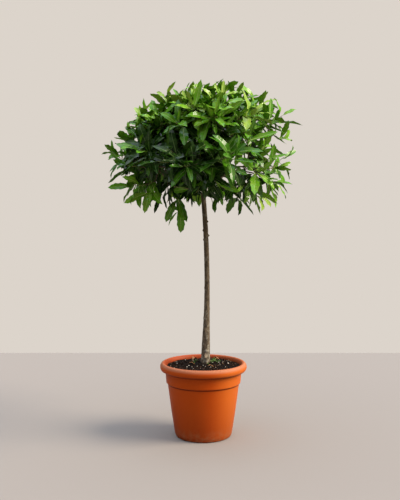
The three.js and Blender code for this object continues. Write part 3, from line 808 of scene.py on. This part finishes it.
# Parts of the head: how far to the right, to the back and up a direction points, from and to.
ANY = (-2, 2)
PARTS = {
    "left": ((-2, -0.75), ANY, (0.02, 0.4)), "low_left": ((-2, -0.6), (-2, 0.1), (-0.6, -0.25)),
    "low_right": ((0.62, 2), ANY, (-0.5, -0.05)), "crest": ((-0.3, 2), ANY, (0.75, 2)),
    "open_right": ((0.45, 2), ANY, (-0.3, 0.5)), "open_left": ((-2, -0.4), ANY, (-0.5, 0.08)),
}
SEED = 20260
ROOM_SEED = SEED + 82
FINE_SEED = SEED + 505
LIMB_GAP = 1.2
LIMB_HALF_STEP = 4.5
STEM_SAMPLES = 102
BOUGH_SAMPLES = 24
SPACE_GAP = 0.4
GOLDEN_ANGLE = math.pi * (3 - math.sqrt(5))


def seeded(seed):
    """Numbers from 0 to 1 that are the same on every run, and the same as in the solids."""
    state = seed
    while True:
        state = (state * 1664525 + 1013904223) & 0xFFFFFFFF
        yield state / 4294967296


def golden_ways(count, lowest):
    """Directions spread evenly over the head, down to a lowest elevation in degrees."""
    ways = []
    for i in range(count):
        z = 1 - 2 * (i + 0.5) / count
        level = math.sqrt(1 - z * z)
        turn = i * GOLDEN_ANGLE
        ways.append(np.array([math.cos(turn) * level, math.sin(turn) * level, z]))
    return [way for way in ways if way[2] >= math.sin(math.radians(lowest))]


def inside_space(points, index, gap):
    """Whether all the points lie in the mass's own cone of the head, clear of its borders."""
    out = np.atleast_2d(points) - HEART
    across = MASS_WAYS[index] - np.delete(MASS_WAYS, index, axis=0)
    return bool(np.all(out @ across.T > gap * np.linalg.norm(across, axis=1)))


def limb_samples():
    """Points down the middle of the stem and the boughs, with the limb's radius there."""
    spots = [stem_point(share) for share in np.linspace(0, 1, STEM_SAMPLES)]
    radii = [stem_radius(share) for share in np.linspace(0, 1, STEM_SAMPLES)]
    for line in bough_lines.values():
        for share in np.linspace(0, 1, BOUGH_SAMPLES):
            spots.append(point_on(line, share))
            radii.append(blend(BOUGH["base_radius"], BOUGH["tip_radius"], share))
    return np.array(spots), np.array(radii)


LIMB_SPOTS, LIMB_RADII = limb_samples()


def clear_of_limbs(points):
    """Whether all the points stand clear of the stem and the boughs."""
    away = np.linalg.norm(np.atleast_2d(points)[:, None, :] - LIMB_SPOTS[None], axis=2)
    return bool(np.all(away > np.hypot(LIMB_RADII + LIMB_GAP, LIMB_HALF_STEP)))


def twig_line(start, start_way, end, end_way):
    """A twig's centre line, bent smoothly between two points and their headings."""
    pull = np.linalg.norm(end - start) * TWIG["bend"] / 3
    return smooth_line([start, start + start_way * pull, end - end_way * pull, end], TWIG["steps"])


def lies_in(way, *names):
    """Whether a direction lies in one of some parts of the head."""
    return any(all(low < share < high for share, (low, high) in zip(way, PARTS[name])) for name in names)


def stray(random):
    """A random offset of up to a half each way along the three axes."""
    return np.array([next(random) - 0.5, next(random) - 0.5, next(random) - 0.5])


def room_for(way, random):
    """How far the leaves of a shoot may reach, as a share of the head's outline."""
    low = between(way[2], 0.02, -0.32)
    luck, shift = next(random), next(random) - 0.5
    often = blend(ROOM["long"], ROOM["long_low"], low)
    if lies_in(way, "left", "low_left", "low_right") or (luck < often and not lies_in(way, "crest")):
        return ROOM["all"]
    return ROOM["usual"] - ROOM["low"] * low + ROOM["stray"] * shift


def is_open(way):
    """Whether the head is thinly leaved in a direction: at the right, and low at the left."""
    return lies_in(way, "open_right", "open_left")


def mass_towards(place, tuck):
    """The mass that a direction lies in, and the direction drawn a little to its middle."""
    nearest = int(np.argmax(MASS_WAYS @ place))
    return nearest, unit(place + (MASS_WAYS[nearest] - place) * tuck)


def new_shoot(way, far, sway, **facts):
    """A shoot that ends at a distance from the heart in a direction, and turns up a little."""
    heading = unit(way + UP * TWIG["lift"] + sway)
    return {"tip": HEART + way * far, "heading": heading, "way": way, **facts}


def shoot_plan():
    """The shoots of the solids: where each ends and which way it points, by mass."""
    random, room = seeded(SEED), seeded(ROOM_SEED)
    plan = [[] for _ in MASSES]
    for i, place in enumerate([LOW_WAY] + golden_ways(SHOOTS["count"], SHOOTS["lowest"])):
        nearest, way = mass_towards(place, SHOOTS["tuck"])
        inner = i % 3 == 1
        wander = SHOOTS["jitter"] * (2 * next(random) - 1)
        reach = head_reach(way)
        far = (reach * SHOOTS["inner"] if inner else reach - SHOOTS["short"]) + wander
        shoot = new_shoot(way, far, 0, inner=inner, fine=False, allowance=room_for(way, room))
        if i == 0:
            shoot.update(allowance=ROOM["all"], leaves=LOW_SPRAY["leaves"], youth=LOW_SPRAY["youth"])
        plan[nearest].append(shoot)
    return plan


def fine_plan():
    """The finer shoots between them, at several depths of the head."""
    random = seeded(FINE_SEED)
    plan = [[] for _ in MASSES]
    for i, place in enumerate(golden_ways(FINE_SHOOTS["count"], FINE_SHOOTS["lowest"])):
        place = unit(place + stray(random) * 2 * FINE_SHOOTS["drift"])
        nearest, way = mass_towards(place, FINE_SHOOTS["tuck"])
        depth = FINE_SHOOTS["depths"][i % len(FINE_SHOOTS["depths"])]
        # There are fewer where the head is open, and low down.
        if (is_open(way) and (depth or i % 2)) or (way[2] < FINE_SHOOTS["rare_below"] and i % 3):
            continue
        wander = FINE_SHOOTS["jitter"] * (2 * next(random) - 1)
        reach = head_reach(way)
        short = FINE_SHOOTS["short"] + FINE_SHOOTS["low_short"] * max(0, -way[2])
        allowance = room_for(way, random)
        far = (reach * depth if depth else reach * allowance - short) + wander
        plan[nearest].append(new_shoot(way, far, stray(random) * FINE_SHOOTS["sway"],
                                       inner=depth is not None, fine=True, allowance=allowance))
    return plan


def twig_to(shoot, nodes, index):
    """The twig of a new shoot, from the first node whose twig stays in the space, off the limbs."""
    ways = shoot["tip"] - np.array([node["at"] for node in nodes])
    far = np.linalg.norm(ways, axis=1)
    ahead = np.einsum("ij,ij->i", ways, np.array([node["heading"] for node in nodes])) / far
    for choice in np.argsort(far * (TWIG["forward"] - ahead)):
        node = nodes[choice]
        line = twig_line(node["at"], node["heading"], shoot["tip"], shoot["heading"])
        gap = TWIG["fine_radius"] if shoot["fine"] else TWIG["stem_tip_radius"]
        if inside_space(line, index, gap + SPACE_GAP) and clear_of_limbs(line[1:]):
            return line, node
    return None, None


def nodes_on(line, radii, shares):
    """Places on a twig where others may fork off, from each one's share of it and its taper's."""
    return [{"at": point_on(line, spot), "heading": heading_on(line, share),
             "radius": np.interp(share, [0, 1], [radii[0], radii[-1]])} for spot, share in shares]


def grow_mass(index, shoots, fine_shoots):
    """One mass's twigs, from its stem outwards, each with its line, its radii and its shoot."""
    if index in bough_lines:
        start, start_way = bough_lines[index][-1], heading_on(bough_lines[index], 1)
    else:
        start, start_way = stem_point(1), unit(stem_point(1) - stem_point(0.98))
    first = twig_line(start - start_way * TWIG["overlap"], start_way,
                      along_mass(index, TWIG["stem_end"]), MASS_WAYS[index])
    radii = np.linspace(TWIG["stem_radius"], TWIG["stem_tip_radius"], len(first))
    twigs = [{"line": first, "radii": radii, "shoot": None}]
    nodes = nodes_on(first, radii, TWIG["stem_nodes"])
    for batch in (shoots, fine_shoots):
        for shoot in sorted(batch, key=lambda shoot: np.linalg.norm(shoot["tip"] - start)):
            line, node = twig_to(shoot, nodes, index)
            if line is None:
                continue
            tip = TWIG["fine_tip_radius"] if shoot["fine"] else TWIG["tip_radius"]
            widest = TWIG["fine_radius"] if shoot["fine"] else node["radius"] * TWIG["thinning"]
            radii = np.linspace(max(widest, tip), tip, len(line))
            twigs.append({"line": line, "radii": radii, "shoot": shoot})
            nodes += nodes_on(line, radii, TWIG["nodes"])
    return twigs


coarse, fine = shoot_plan(), fine_plan()
MASS_TWIGS = [grow_mass(index, coarse[index], fine[index]) for index in range(len(MASSES))]


def attribute_of(tree, name, data_type="FLOAT"):
    """A named attribute of the geometry."""
    node = add_node(tree, "GeometryNodeInputNamedAttribute", {"Name": name}, data_type=data_type)
    return node.outputs[0]


def round_lines_tree():
    """Makes lines of points into round twigs of each point's radius, woody or green by face."""
    tree, given, result = new_tree("twigs_along_lines", {
        "Sides": "Int", "Wood": "Material", "Green": "Material"})
    radius = attribute_of(tree, "twig_radius")
    lines = add_node(tree, "GeometryNodeMeshToCurve", {"Mesh": given["Geometry"]})
    sized = add_node(tree, "GeometryNodeSetCurveRadius", {"Curve": lines.outputs[0], "Radius": radius})
    ring = add_node(tree, "GeometryNodeCurvePrimitiveCircle", {
        "Radius": 1.0, "Resolution": given["Sides"]})
    round_twigs = add_node(tree, "GeometryNodeCurveToMesh", {
        "Curve": sized.outputs[0], "Profile Curve": ring.outputs[0], "Fill Caps": True})
    # Where the node has a scale of its own, it doesn't read the curve's radius.
    if "Scale" in round_twigs.inputs:
        tree.links.new(radius, round_twigs.inputs["Scale"])
    solid = add_node(tree, "GeometryNodeRealizeInstances", {0: round_twigs.outputs[0]}).outputs[0]
    is_young = compared(tree, attribute_of(tree, "young"), "GREATER_THAN", 0.5)
    woody = painted(tree, solid, given["Wood"])
    tree.links.new(painted(tree, woody, given["Green"], is_young), result[0])
    return tree


def placed_points(name, points, edges, attributes):
    """A new object of points and lines, with the type and the values of each named attribute."""
    mesh = bpy.data.meshes.new(name)
    mesh.from_pydata(points, edges, [])
    for label, (kind, values) in attributes.items():
        field = "vector" if kind == "FLOAT_VECTOR" else "value"
        mesh.attributes.new(label, kind, "POINT").data.foreach_set(field, values)
    return placed(bpy.data.objects.new(name, mesh))


def twig_skeleton(name, twigs):
    """A mesh of lines along the twigs, with each point's radius and whether it is young."""
    points, edges, radii, young = [], [], [], []
    for twig in twigs:
        length = np.linalg.norm(np.diff(twig["line"], axis=0), axis=1).sum()
        for number, (point, radius) in enumerate(zip(twig["line"], twig["radii"])):
            if number:
                edges.append((len(points) - 1, len(points)))
            points.append(point * MM)
            radii.append(radius * MM)
            left = length * (1 - number / (len(twig["line"]) - 1))
            young.append(float(twig["shoot"] is not None and left < TWIG["green_end"]))
    return placed_points(name, points, edges, {
        "twig_radius": ("FLOAT", radii), "young": ("FLOAT", young)})


twig_wood = surface("brown_twig_bark", Base_Color=linear("#5d4a33"), Roughness=0.75, IOR=1.45)[0]
green_shoot = surface("green_young_shoot", Base_Color=linear("#6f7a36"), Roughness=0.55, IOR=1.45)[0]
twigs = twig_skeleton("twigs", [twig for mass in MASS_TWIGS for twig in mass])
run_tree(twigs, round_lines_tree(), {"Sides": TWIG["sides"], "Wood": twig_wood, "Green": green_shoot})
shade(twigs, 75)
settle(twigs, "bark", *["mass_" + name for name, *_ in MASSES])

# ---- Leaves ----
# Bay leaves: leathery, long and pointed at both ends, with a wavy, shallow-toothed edge, a pale
# midrib and a short stalk. They stand in spirals on the last stretch of each shoot.
# Those low on the head hang, and the young ones at the tips are small, upright and yellow-green.
LEAF = {
    "length": 122, "width": 36, "stalk": 9, "stalk_radius": 0.95, "thickness": 0.6, "rib": 1.5,
    "per_outer": 11, "per_inner": 7, "per_fine": 9, "stretch": 78, "tip_spread": 34, "root_spread": 98,
    "droop": 1.5, "droops_below": 0.12, "droop_growth": 1.6, "droop_most": 1.1, "facing_up": 0.85,
    "roll": 0.75, "tries": 7, "turn": 0.16, "sag": 0.06, "shrink": 0.035, "least": 0.72, "most": 1.17,
    "young_tips": 0.24, "sparse": 0.6, "sparse_below": -0.25, "bud_rank": 0.15, "bud_size": 0.78,
    "foot": 0.85, "tooth": 0.026, "arch_lift": 0.35,
}
# Half width along the blade, as a share of the widest, with three shallow teeth on each edge.
STATIONS = [0.0, 0.07, 0.17, 0.28, 0.39, 0.50, 0.61, 0.72, 0.82, 0.92, 1.0]
OUTLINE = [0.05, 0.26, 0.58, 0.78, 1.0, 0.85, 0.98, 0.75, 0.64, 0.27, 0.0]
TEETH = (4, 6, 8)
# Each blade: its share of the width, how far it arches over, twists and folds in radians, and its
# edge's wave.
BLADES = [
    {"slim": 1.0, "arch": 0.35, "twist": 0.1, "fold": 0.3, "wave": 0.08, "phase": 0.0},
    {"slim": 0.84, "arch": 0.8, "twist": -0.25, "fold": 0.36, "wave": 0.1, "phase": 0.3},
    {"slim": 1.06, "arch": 1.2, "twist": 0.2, "fold": 0.22, "wave": 0.12, "phase": 0.6},
    {"slim": 0.78, "arch": -0.15, "twist": 0.5, "fold": 0.42, "wave": 0.08, "phase": 0.1},
    {"slim": 0.95, "arch": 0.6, "twist": -0.6, "fold": 0.18, "wave": 0.14, "phase": 0.8},
    {"slim": 0.7, "arch": 0.1, "twist": -0.2, "fold": 0.55, "wave": 0.06, "phase": 0.5},
]


def along_and_up(pitch):
    """The ways along a leaf and up from it where it has a pitch in radians."""
    return Vector((math.cos(pitch), 0, math.sin(pitch))), Vector((-math.sin(pitch), 0, math.cos(pitch)))


def blade_rows(bm, slim, arch, twist, fold, wave, phase):
    """The corners across a leaf's blade at each station, and the middle of its first one."""
    blade = LEAF["length"] - LEAF["stalk"]
    spine = [Vector((LEAF["stalk"], 0, 0))]
    for low, high in zip(STATIONS, STATIONS[1:]):
        along = along_and_up(arch * (LEAF["arch_lift"] - (low + high) / 2))[0]
        spine.append(spine[-1] + along * blade * (high - low))
    rows = []
    for number, (s, share) in enumerate(zip(STATIONS, OUTLINE)):
        along, up = along_and_up(arch * (LEAF["arch_lift"] - s))
        roll = twist * (s - 0.3)
        side = Vector((0, math.cos(roll), 0)) + up * math.sin(roll)
        top = up * math.cos(roll) - Vector((0, math.sin(roll), 0))
        half = share * slim * LEAF["width"] / 2
        tooth = LEAF["tooth"] * blade * (number in TEETH)
        rib = min(LEAF["rib"] * (1.15 - s), half * 0.6)
        lift = half * math.tan(fold * (1 - 0.3 * s))
        row = {}
        for sign, edge in ((1, "left"), (-1, "right")):
            swing = 2 * math.pi * (s * 1.9 + phase) + (0.9 if sign > 0 else 0)
            ripple = wave * blade * 0.3 * math.sin(swing) * min(share, 1)
            out = side * sign * half + top * (lift + ripple) + along * tooth
            row[edge] = bm.verts.new(spine[number] + out)
            row[edge + "_rib"] = bm.verts.new(spine[number] + side * sign * rib
                                              + top * LEAF["thickness"] * 0.5)
        row["under"] = bm.verts.new(spine[number] - top * LEAF["thickness"] * 0.9 * (1.2 - s))
        rows.append(row)
    for corner in rows[-1].values():
        corner.co = spine[-1]
    return rows, spine[0]


def leaf_shape(name, slim, arch, twist, fold, wave, phase):
    """A leaf along +X with its face up and its stalk's root at the origin, closed and thin.
    The part attribute of its faces is 0 on top, 1 underneath, and 2 on the midrib and stalk."""
    bm = bmesh.new()
    part = bm.faces.layers.int.new("part")

    def add_face(corners, kind, smooth=False):
        """Adds a face to a part of the leaf."""
        face = bm.faces.new(corners)
        face[part], face.smooth = kind, smooth

    rows, foot = blade_rows(bm, slim, arch, twist, fold, wave, phase)
    strips = [("left_rib", "left", 0), ("right", "right_rib", 0), ("right_rib", "left_rib", 2),
              ("left", "under", 1), ("under", "right", 1)]
    for low, high in zip(rows, rows[1:]):
        for a, b, kind in strips:
            add_face((low[a], high[a], high[b], low[b]), kind, True)
    add_face([rows[0][corner] for corner in ("under", "left", "left_rib", "right_rib", "right")], 2)
    # The stalk: three sides, from the root into the blade.
    root, end = [], []
    for i in range(3):
        angle = 2 * math.pi * i / 3
        ring = Vector((0, math.sin(angle), math.cos(angle))) * LEAF["stalk_radius"]
        root.append(bm.verts.new(ring * 1.15))
        end.append(bm.verts.new(foot + Vector((3, 0, 0)) + ring * 0.75))
    for i in range(3):
        add_face((root[i], root[i - 1], end[i - 1], end[i]), 2, True)
    add_face(root, 2)
    add_face(end[::-1], 2)
    bmesh.ops.remove_doubles(bm, verts=bm.verts, dist=1e-4)
    bmesh.ops.recalc_face_normals(bm, faces=bm.faces)
    for edge in bm.edges:
        kinds = {face[part] for face in edge.link_faces}
        edge.smooth = not (1 in kinds and kinds != {1})
    bmesh.ops.scale(bm, vec=(MM, MM, MM), verts=bm.verts)
    return made_from(name, bm)


def turned_about(vector, axis, angle):
    """A vector turned about a unit axis."""
    return (vector * math.cos(angle) + np.cross(axis, vector) * math.sin(angle)
            + axis * float(axis @ vector) * (1 - math.cos(angle)))


def within_reach(point, allowance):
    """Whether a point lies within the head's outline, grown by an allowance."""
    out = point - HEART
    return np.linalg.norm(out) <= head_reach(unit(out)) * allowance


def leaf_count(shoot):
    """How many leaves a shoot carries."""
    count = LEAF["per_fine"] if shoot["fine"] else LEAF["per_outer"]
    if shoot["inner"]:
        count = LEAF["per_inner"]
    if is_open(shoot["way"]) or shoot["way"][2] < LEAF["sparse_below"]:
        count = round(count * LEAF["sparse"])
    return shoot.get("leaves", count)


def leaves_of(twig, random):
    """The leaves of one shoot, in a spiral from its tip down."""
    shoot, line = twig["shoot"], twig["line"]
    length = np.linalg.norm(np.diff(line, axis=0), axis=1).sum()
    count = leaf_count(shoot)
    low = max(LEAF["droop_growth"] * (LEAF["droops_below"] - shoot["way"][2]), 0)
    low = min(low, LEAF["droop_most"])
    across = unit(np.cross(shoot["heading"], [0.31, 0.57, 0.23]))
    turn = next(random) * 2 * math.pi
    leaves = []
    for i in range(count):
        rank = i / (count - 1)
        back = min(LEAF["stretch"] * rank, length * LEAF["foot"]) + 1
        root = point_on(line, 1 - back / length)
        spread = math.radians(blend(LEAF["tip_spread"], LEAF["root_spread"], rank))
        outward = turned_about(across, shoot["heading"], turn + i * GOLDEN_ANGLE)
        droop = LEAF["droop"] * low * (0.5 + 0.5 * rank)
        heading = unit(shoot["heading"] * math.cos(spread) + outward * math.sin(spread) - UP * droop)
        size = blend(LEAF["least"], LEAF["most"], next(random))
        if rank < LEAF["bud_rank"]:
            size *= LEAF["bud_size"]
        facing = shoot["way"] + UP * LEAF["facing_up"] + stray(random) * 2 * LEAF["roll"]
        kind = int(next(random) * len(BLADES))
        # A leaf that reaches too far or into a limb is turned, a little further each time.
        for attempt in range(LEAF["tries"]):
            swing = LEAF["turn"] * attempt * (1 if attempt % 2 else -1)
            leant = turned_about(heading, shoot["heading"], swing)
            leant = unit(leant - UP * LEAF["sag"] * attempt * low)
            scale = size * (1 - LEAF["shrink"] * attempt)
            tip = root + leant * LEAF["length"] * scale
            if within_reach(tip, shoot["allowance"]) and clear_of_limbs([tip, (root + tip) / 2]):
                side = unit(np.cross(facing, leant))
                pose = Matrix((leant, side, np.cross(leant, side))).transposed().to_euler()
                leaves.append({"root": root, "turn": pose, "scale": scale, "kind": kind, "rank": rank})
                break
    return leaves


def leaves_tree():
    """Sets a leaf on each point, by the point's own turn, size and shape, and colours its parts."""
    tree, given, result = new_tree("leaves_on_shoots", {
        "Blades": "Collection", "Top": "Material", "Underside": "Material", "Midrib": "Material"})
    turn = add_node(tree, "FunctionNodeEulerToRotation", {0: attribute_of(tree, "turn", "FLOAT_VECTOR")})
    leaves = instanced(tree, given["Geometry"], given["Blades"], attribute_of(tree, "kind", "INT"),
                       turn.outputs[0], attribute_of(tree, "size"))
    part = attribute_of(tree, "part", "INT")
    for number, label in enumerate(("Top", "Underside", "Midrib")):
        leaves = painted(tree, leaves, given[label], compared(tree, part, "EQUAL", number, "INT"))
    tree.links.new(leaves, result[0])
    return tree


def bay_leaf(name, top, underside, midrib):
    """The waxy top of a bay leaf, its dull paler underside and its yellowish midrib."""
    waxy = surface("waxy_leaf_top_" + name, Base_Color=linear(top), Roughness=0.45, IOR=1.47,
                   Specular_IOR_Level=0.05, Coat_Weight=0.45, Coat_Roughness=0.1)[0]
    dull = surface("dull_leaf_underside_" + name, Base_Color=linear(underside), Roughness=0.62, IOR=1.45,
                   Specular_IOR_Level=0.2)[0]
    rib = surface("leaf_midrib_" + name, Base_Color=linear(midrib), Roughness=0.5, IOR=1.45)[0]
    return waxy, dull, rib


# From the youngest leaves to the oldest: above which score of youth and painted light, then the top,
# underside and midrib.
TINTS = {
    "young": (0.82, "#83a43c", "#8da842", "#a6ba5c"),
    "fresh": (0.56, "#669b1e", "#71982a", "#98b250"),
    "full": (0.32, "#50880f", "#57821c", "#8ca64c"),
    "deep": (0.12, "#366808", "#416a14", "#7c984a"),
    "old": (-math.inf, "#173403", "#27430e", "#587434"),
}
YOUTH_AND_LIGHT = {
    "usual": 0.47, "rise": 0.32, "sunny": 0.3, "sunny_width": 1.2, "hanging": 0.2, "shaded": 0.5,
    "inner": 0.44, "stray": 0.4, "rank": 0.4,
}


def youth_of(shoot, random):
    """How young a shoot's leaves look, partly their age and partly painted light and shade: most at the
    top, the sunny side and the hanging ends.
    """
    across, behind, rise = shoot["way"]
    # Partly age and partly painted light: paler tints towards the top, where the light from above falls.
    youth = YOUTH_AND_LIGHT["usual"] + YOUTH_AND_LIGHT["rise"] * rise
    # Painted light: paler tints on the right, where the key light falls.
    youth += YOUTH_AND_LIGHT["sunny"] * max(0, min(across, YOUTH_AND_LIGHT["sunny_width"] - across))
    # Painted light: paler tints on the hanging ends, as if lit from below.
    youth += YOUTH_AND_LIGHT["hanging"] * between(rise, -0.12, -0.42)
    # Painted shade: the side towards the viewer, which is in the shade at middle height, gets darker
    # tints there.
    youth -= YOUTH_AND_LIGHT["shaded"] * max(0, -behind) * between(rise, 0.66, 0.26) * between(rise, -0.35, -0.05)
    # Shoots within the head get darker tints, partly for their age and partly as painted shade.
    youth += shoot.get("youth", 0) - (YOUTH_AND_LIGHT["inner"] if shoot["inner"] else 0)
    return youth + YOUTH_AND_LIGHT["stray"] * (next(random) - 0.5)


def tint_of(youth):
    """The tint of a leaf of a certain youth, with painted light and shade."""
    return next(name for name, (limit, *_) in TINTS.items() if youth > limit)


# Each leaf's tint is dealt by its shoot's youth, with painted light and shade, and by its rank on the
# shoot.
dealt = {name: [] for name in TINTS}
for index, mass in enumerate(MASS_TWIGS):
    random = seeded(SEED + index + 1)
    for twig in mass:
        if twig["shoot"] is None:
            continue
        youth = youth_of(twig["shoot"], random)
        for leaf in leaves_of(twig, random):
            dealt[tint_of(youth + LEAF["young_tips"] * (YOUTH_AND_LIGHT["rank"] - leaf["rank"]))].append(leaf)

blades = shape_kit("blades", [leaf_shape(f"blade_{i}", **shape) for i, shape in enumerate(BLADES)])
LEAVES_TREE = leaves_tree()
for name, leaves in dealt.items():
    piece = placed_points("leaves_" + name, [leaf["root"] * MM for leaf in leaves], [], {
        "turn": ("FLOAT_VECTOR", [angle for leaf in leaves for angle in leaf["turn"]]),
        "size": ("FLOAT", [leaf["scale"] for leaf in leaves]),
        "kind": ("INT", [leaf["kind"] for leaf in leaves])})
    top, underside, midrib = bay_leaf(name, *TINTS[name][1:])
    run_tree(piece, LEAVES_TREE, {
        "Blades": blades, "Top": top, "Underside": underside, "Midrib": midrib})
    settle(piece, "foliage", *["mass_" + name for name, *_ in MASSES])
discard(blades)

# ---- Fallen leaves and seedlings ----
# Old bay leaves have dropped on the compost, where they dried, curled and turned tan. A few
# seedlings of weeds have come up beside the stem, each with two or three pairs of tiny leaves.
FALLEN = [
    # x, y, turn and tip-up in degrees, size, arch, twist, fold
    (-52, 26, 62, 8, 0.42, 2.3, 0.7, 0.55), (-70, -20, -20, 4, 0.34, 1.7, -0.6, 0.4),
    (74, 66, 150, 6, 0.36, 2.0, 0.5, 0.5), (14, -84, 12, 3, 0.28, 1.4, 0.4, 0.5),
]
SEEDLINGS = [
    # x, y, height, turn in degrees, pairs of leaves
    (44, 8, 11, 20, 3), (55, 30, 9, 75, 2), (37, -14, 9, 130, 2), (62, -2, 8, 200, 2),
    (50, 52, 10, 260, 2), (33, 4, 8, 310, 2), (72, 28, 7, 40, 2), (-34, 8, 9, 95, 2),
    (-40, -22, 7, 170, 2), (22, -46, 6, 230, 2),
]
SPROUT = {"buried": 2, "lean": 0.12, "radius": 0.75, "thinning": 0.1, "between_pairs": 3.2, "tip_up": 22}
ground = BVHTree.FromPolygons([v.co.copy() for v in compost.data.vertices],
                              [tuple(face.vertices) for face in compost.data.polygons])


def ground_height(x, y):
    """The height in mm of the compost at a place in mm."""
    return ground.ray_cast(Vector((x * MM, y * MM, 0.5)), Vector((0, 0, -1)))[0].z / MM


def joined(name, shapes):
    """One piece from (object, matrix) pairs, which are used up."""
    bm = bmesh.new()
    for shape, matrix in shapes:
        shape.data.transform(matrix)
        bm.from_mesh(shape.data)
        bpy.data.objects.remove(shape)
    return placed(made_from(name, bm))


def stand_at(x, y, height, turn, tip_up):
    """The matrix that sets a leaf at a place in mm, turned about Z and tipped up, in degrees."""
    return (Matrix.Translation((x * MM, y * MM, height * MM))
            @ Matrix.Rotation(math.radians(turn), 4, "Z")
            @ Matrix.Rotation(math.radians(-tip_up), 4, "Y"))


dried = []
for number, (x, y, turn, tip_up, size, arch, twist, fold) in enumerate(FALLEN):
    leaf = leaf_shape(f"fallen_{number}", 1.0, arch, twist, fold, 0.12, 0.35)
    dried.append((leaf, stand_at(x, y, ground_height(x, y) + 2.5, turn, tip_up) @ Matrix.Scale(size, 4)))
fallen = joined("fallen_leaves", dried)
dry_leaf, tree, shader = surface("dried_leaf", Roughness=0.8, IOR=1.45)
# Tan, with brown blotches 8 mm across.
tan = mixed(tree, cloudy(tree, object_place(tree), 120.0, 3.0), "#5c3a20", "#a97c4e")
tree.links.new(tan, shader.inputs["Base Color"])
fallen.data.materials.append(dry_leaf)
settle(fallen, "foliage")

sprouts = []
for number, (x, y, height, turn, pairs) in enumerate(SEEDLINGS):
    foot = Vector((x, y, ground_height(x, y) - SPROUT["buried"]))
    around = math.radians(turn)
    lean = Vector((math.cos(around), math.sin(around), 0)) * height * SPROUT["lean"]
    rise = Vector((0, 0, height + SPROUT["buried"]))
    line = [foot + lean * share * share + rise * share for share in (0, 0.35, 0.7, 1)]
    stalk = bmesh.new()
    tube(stalk, line, lambda ring, angle: SPROUT["radius"] - SPROUT["thinning"] * ring, 5)
    sprouts.append((made_from(f"stalk_{number}", stalk), Matrix.Identity(4)))
    for pair in range(pairs):
        at = line[-1] - Vector((0, 0, SPROUT["between_pairs"] * pair))
        for side in range(2):
            leaf = leaf_shape(f"sprout_{number}_{pair}_{side}", 1.7, 0.7, 0.1, 0.2, 0.02, 0.2)
            size = (0.07 + 0.02 * pair) * height / 10
            around = turn + 90 * pair + 180 * side
            stand = stand_at(at.x, at.y, at.z, around, SPROUT["tip_up"])
            sprouts.append((leaf, stand @ Matrix.Scale(size, 4)))
seedlings = joined("seedlings", sprouts)
sprout_green = surface("soft_seedling_leaf", Base_Color=linear("#587f28"), Roughness=0.5, IOR=1.45)[0]
seedlings.data.materials.append(sprout_green)
settle(seedlings, "foliage")

# ---- Floor, light and camera ----
# A plain pale floor, a broad soft key light from the upper right, and the photograph's view.
FLOOR = {"side": 7, "front": -7, "back": 1.9, "height": -0.0005}
CAMERA = {"place": (-0.0152, -2.906, 0.92), "lens": 46.8, "sensor": 36, "shift": -0.0432}
floor = bmesh.new()
ends = [(-FLOOR["side"], FLOOR["front"]), (FLOOR["side"], FLOOR["front"]),
        (FLOOR["side"], FLOOR["back"]), (-FLOOR["side"], FLOOR["back"])]
floor.faces.new([floor.verts.new((x, y, FLOOR["height"])) for x, y in ends])
floor = placed(made_from("studio_floor", floor))
matt = surface("pale_matt_floor", Base_Color=linear("#8c857e"), Roughness=0.9)[0]
floor.data.materials.append(matt)

# Light falls from a soft sky that is brighter overhead, and the backdrop is one pale tone.
world = bpy.data.worlds.new("studio")
bpy.context.scene.world = world
world.use_nodes = True
air = world.node_tree
rise = axis_of(air, add_node(air, "ShaderNodeTexCoord").outputs["Generated"], "Z")
strength = ranged(air, rise, 0.35, 1.0, 2.9, 0.2, interpolation_type="SMOOTHSTEP")
sky = air.nodes["Background"]
air.links.new(mixed(air, rise, "#fff1e2", "#d6e4fa"), sky.inputs["Color"])
air.links.new(strength, sky.inputs["Strength"])
backdrop = add_node(air, "ShaderNodeBackground", {"Color": linear("#dcd4cb"), "Strength": 1.0})
seen = add_node(air, "ShaderNodeLightPath").outputs["Is Camera Ray"]
both = add_node(air, "ShaderNodeMixShader", {0: seen, 1: sky.outputs[0], 2: backdrop.outputs[0]})
air.links.new(both.outputs[0], air.nodes["World Output"].inputs["Surface"])


def soft_sun(name, toward, strength, colour, angle):
    """A soft sun in a direction, with how wide it is in degrees."""
    light = bpy.data.lights.new(name, "SUN")
    light.energy = strength
    light.color = linear(colour)[:3]
    light.angle = math.radians(angle)
    lamp = placed(bpy.data.objects.new(name, light))
    lamp.rotation_euler = Vector(toward).to_track_quat("Z", "Y").to_euler()


soft_sun("key", (0.9, -0.16, 0.66), 5.2, "#fff0dc", 32)

camera = bpy.data.cameras.new("camera")
camera.sensor_width = CAMERA["sensor"]
camera.lens = CAMERA["lens"]
camera.shift_y = CAMERA["shift"]
camera.clip_start = 0.05
viewer = placed(bpy.data.objects.new("camera", camera))
viewer.location = CAMERA["place"]
viewer.rotation_euler = (math.radians(90), 0, 0)
bpy.context.scene.camera = viewer
bpy.context.scene.view_settings.view_transform = "Standard"
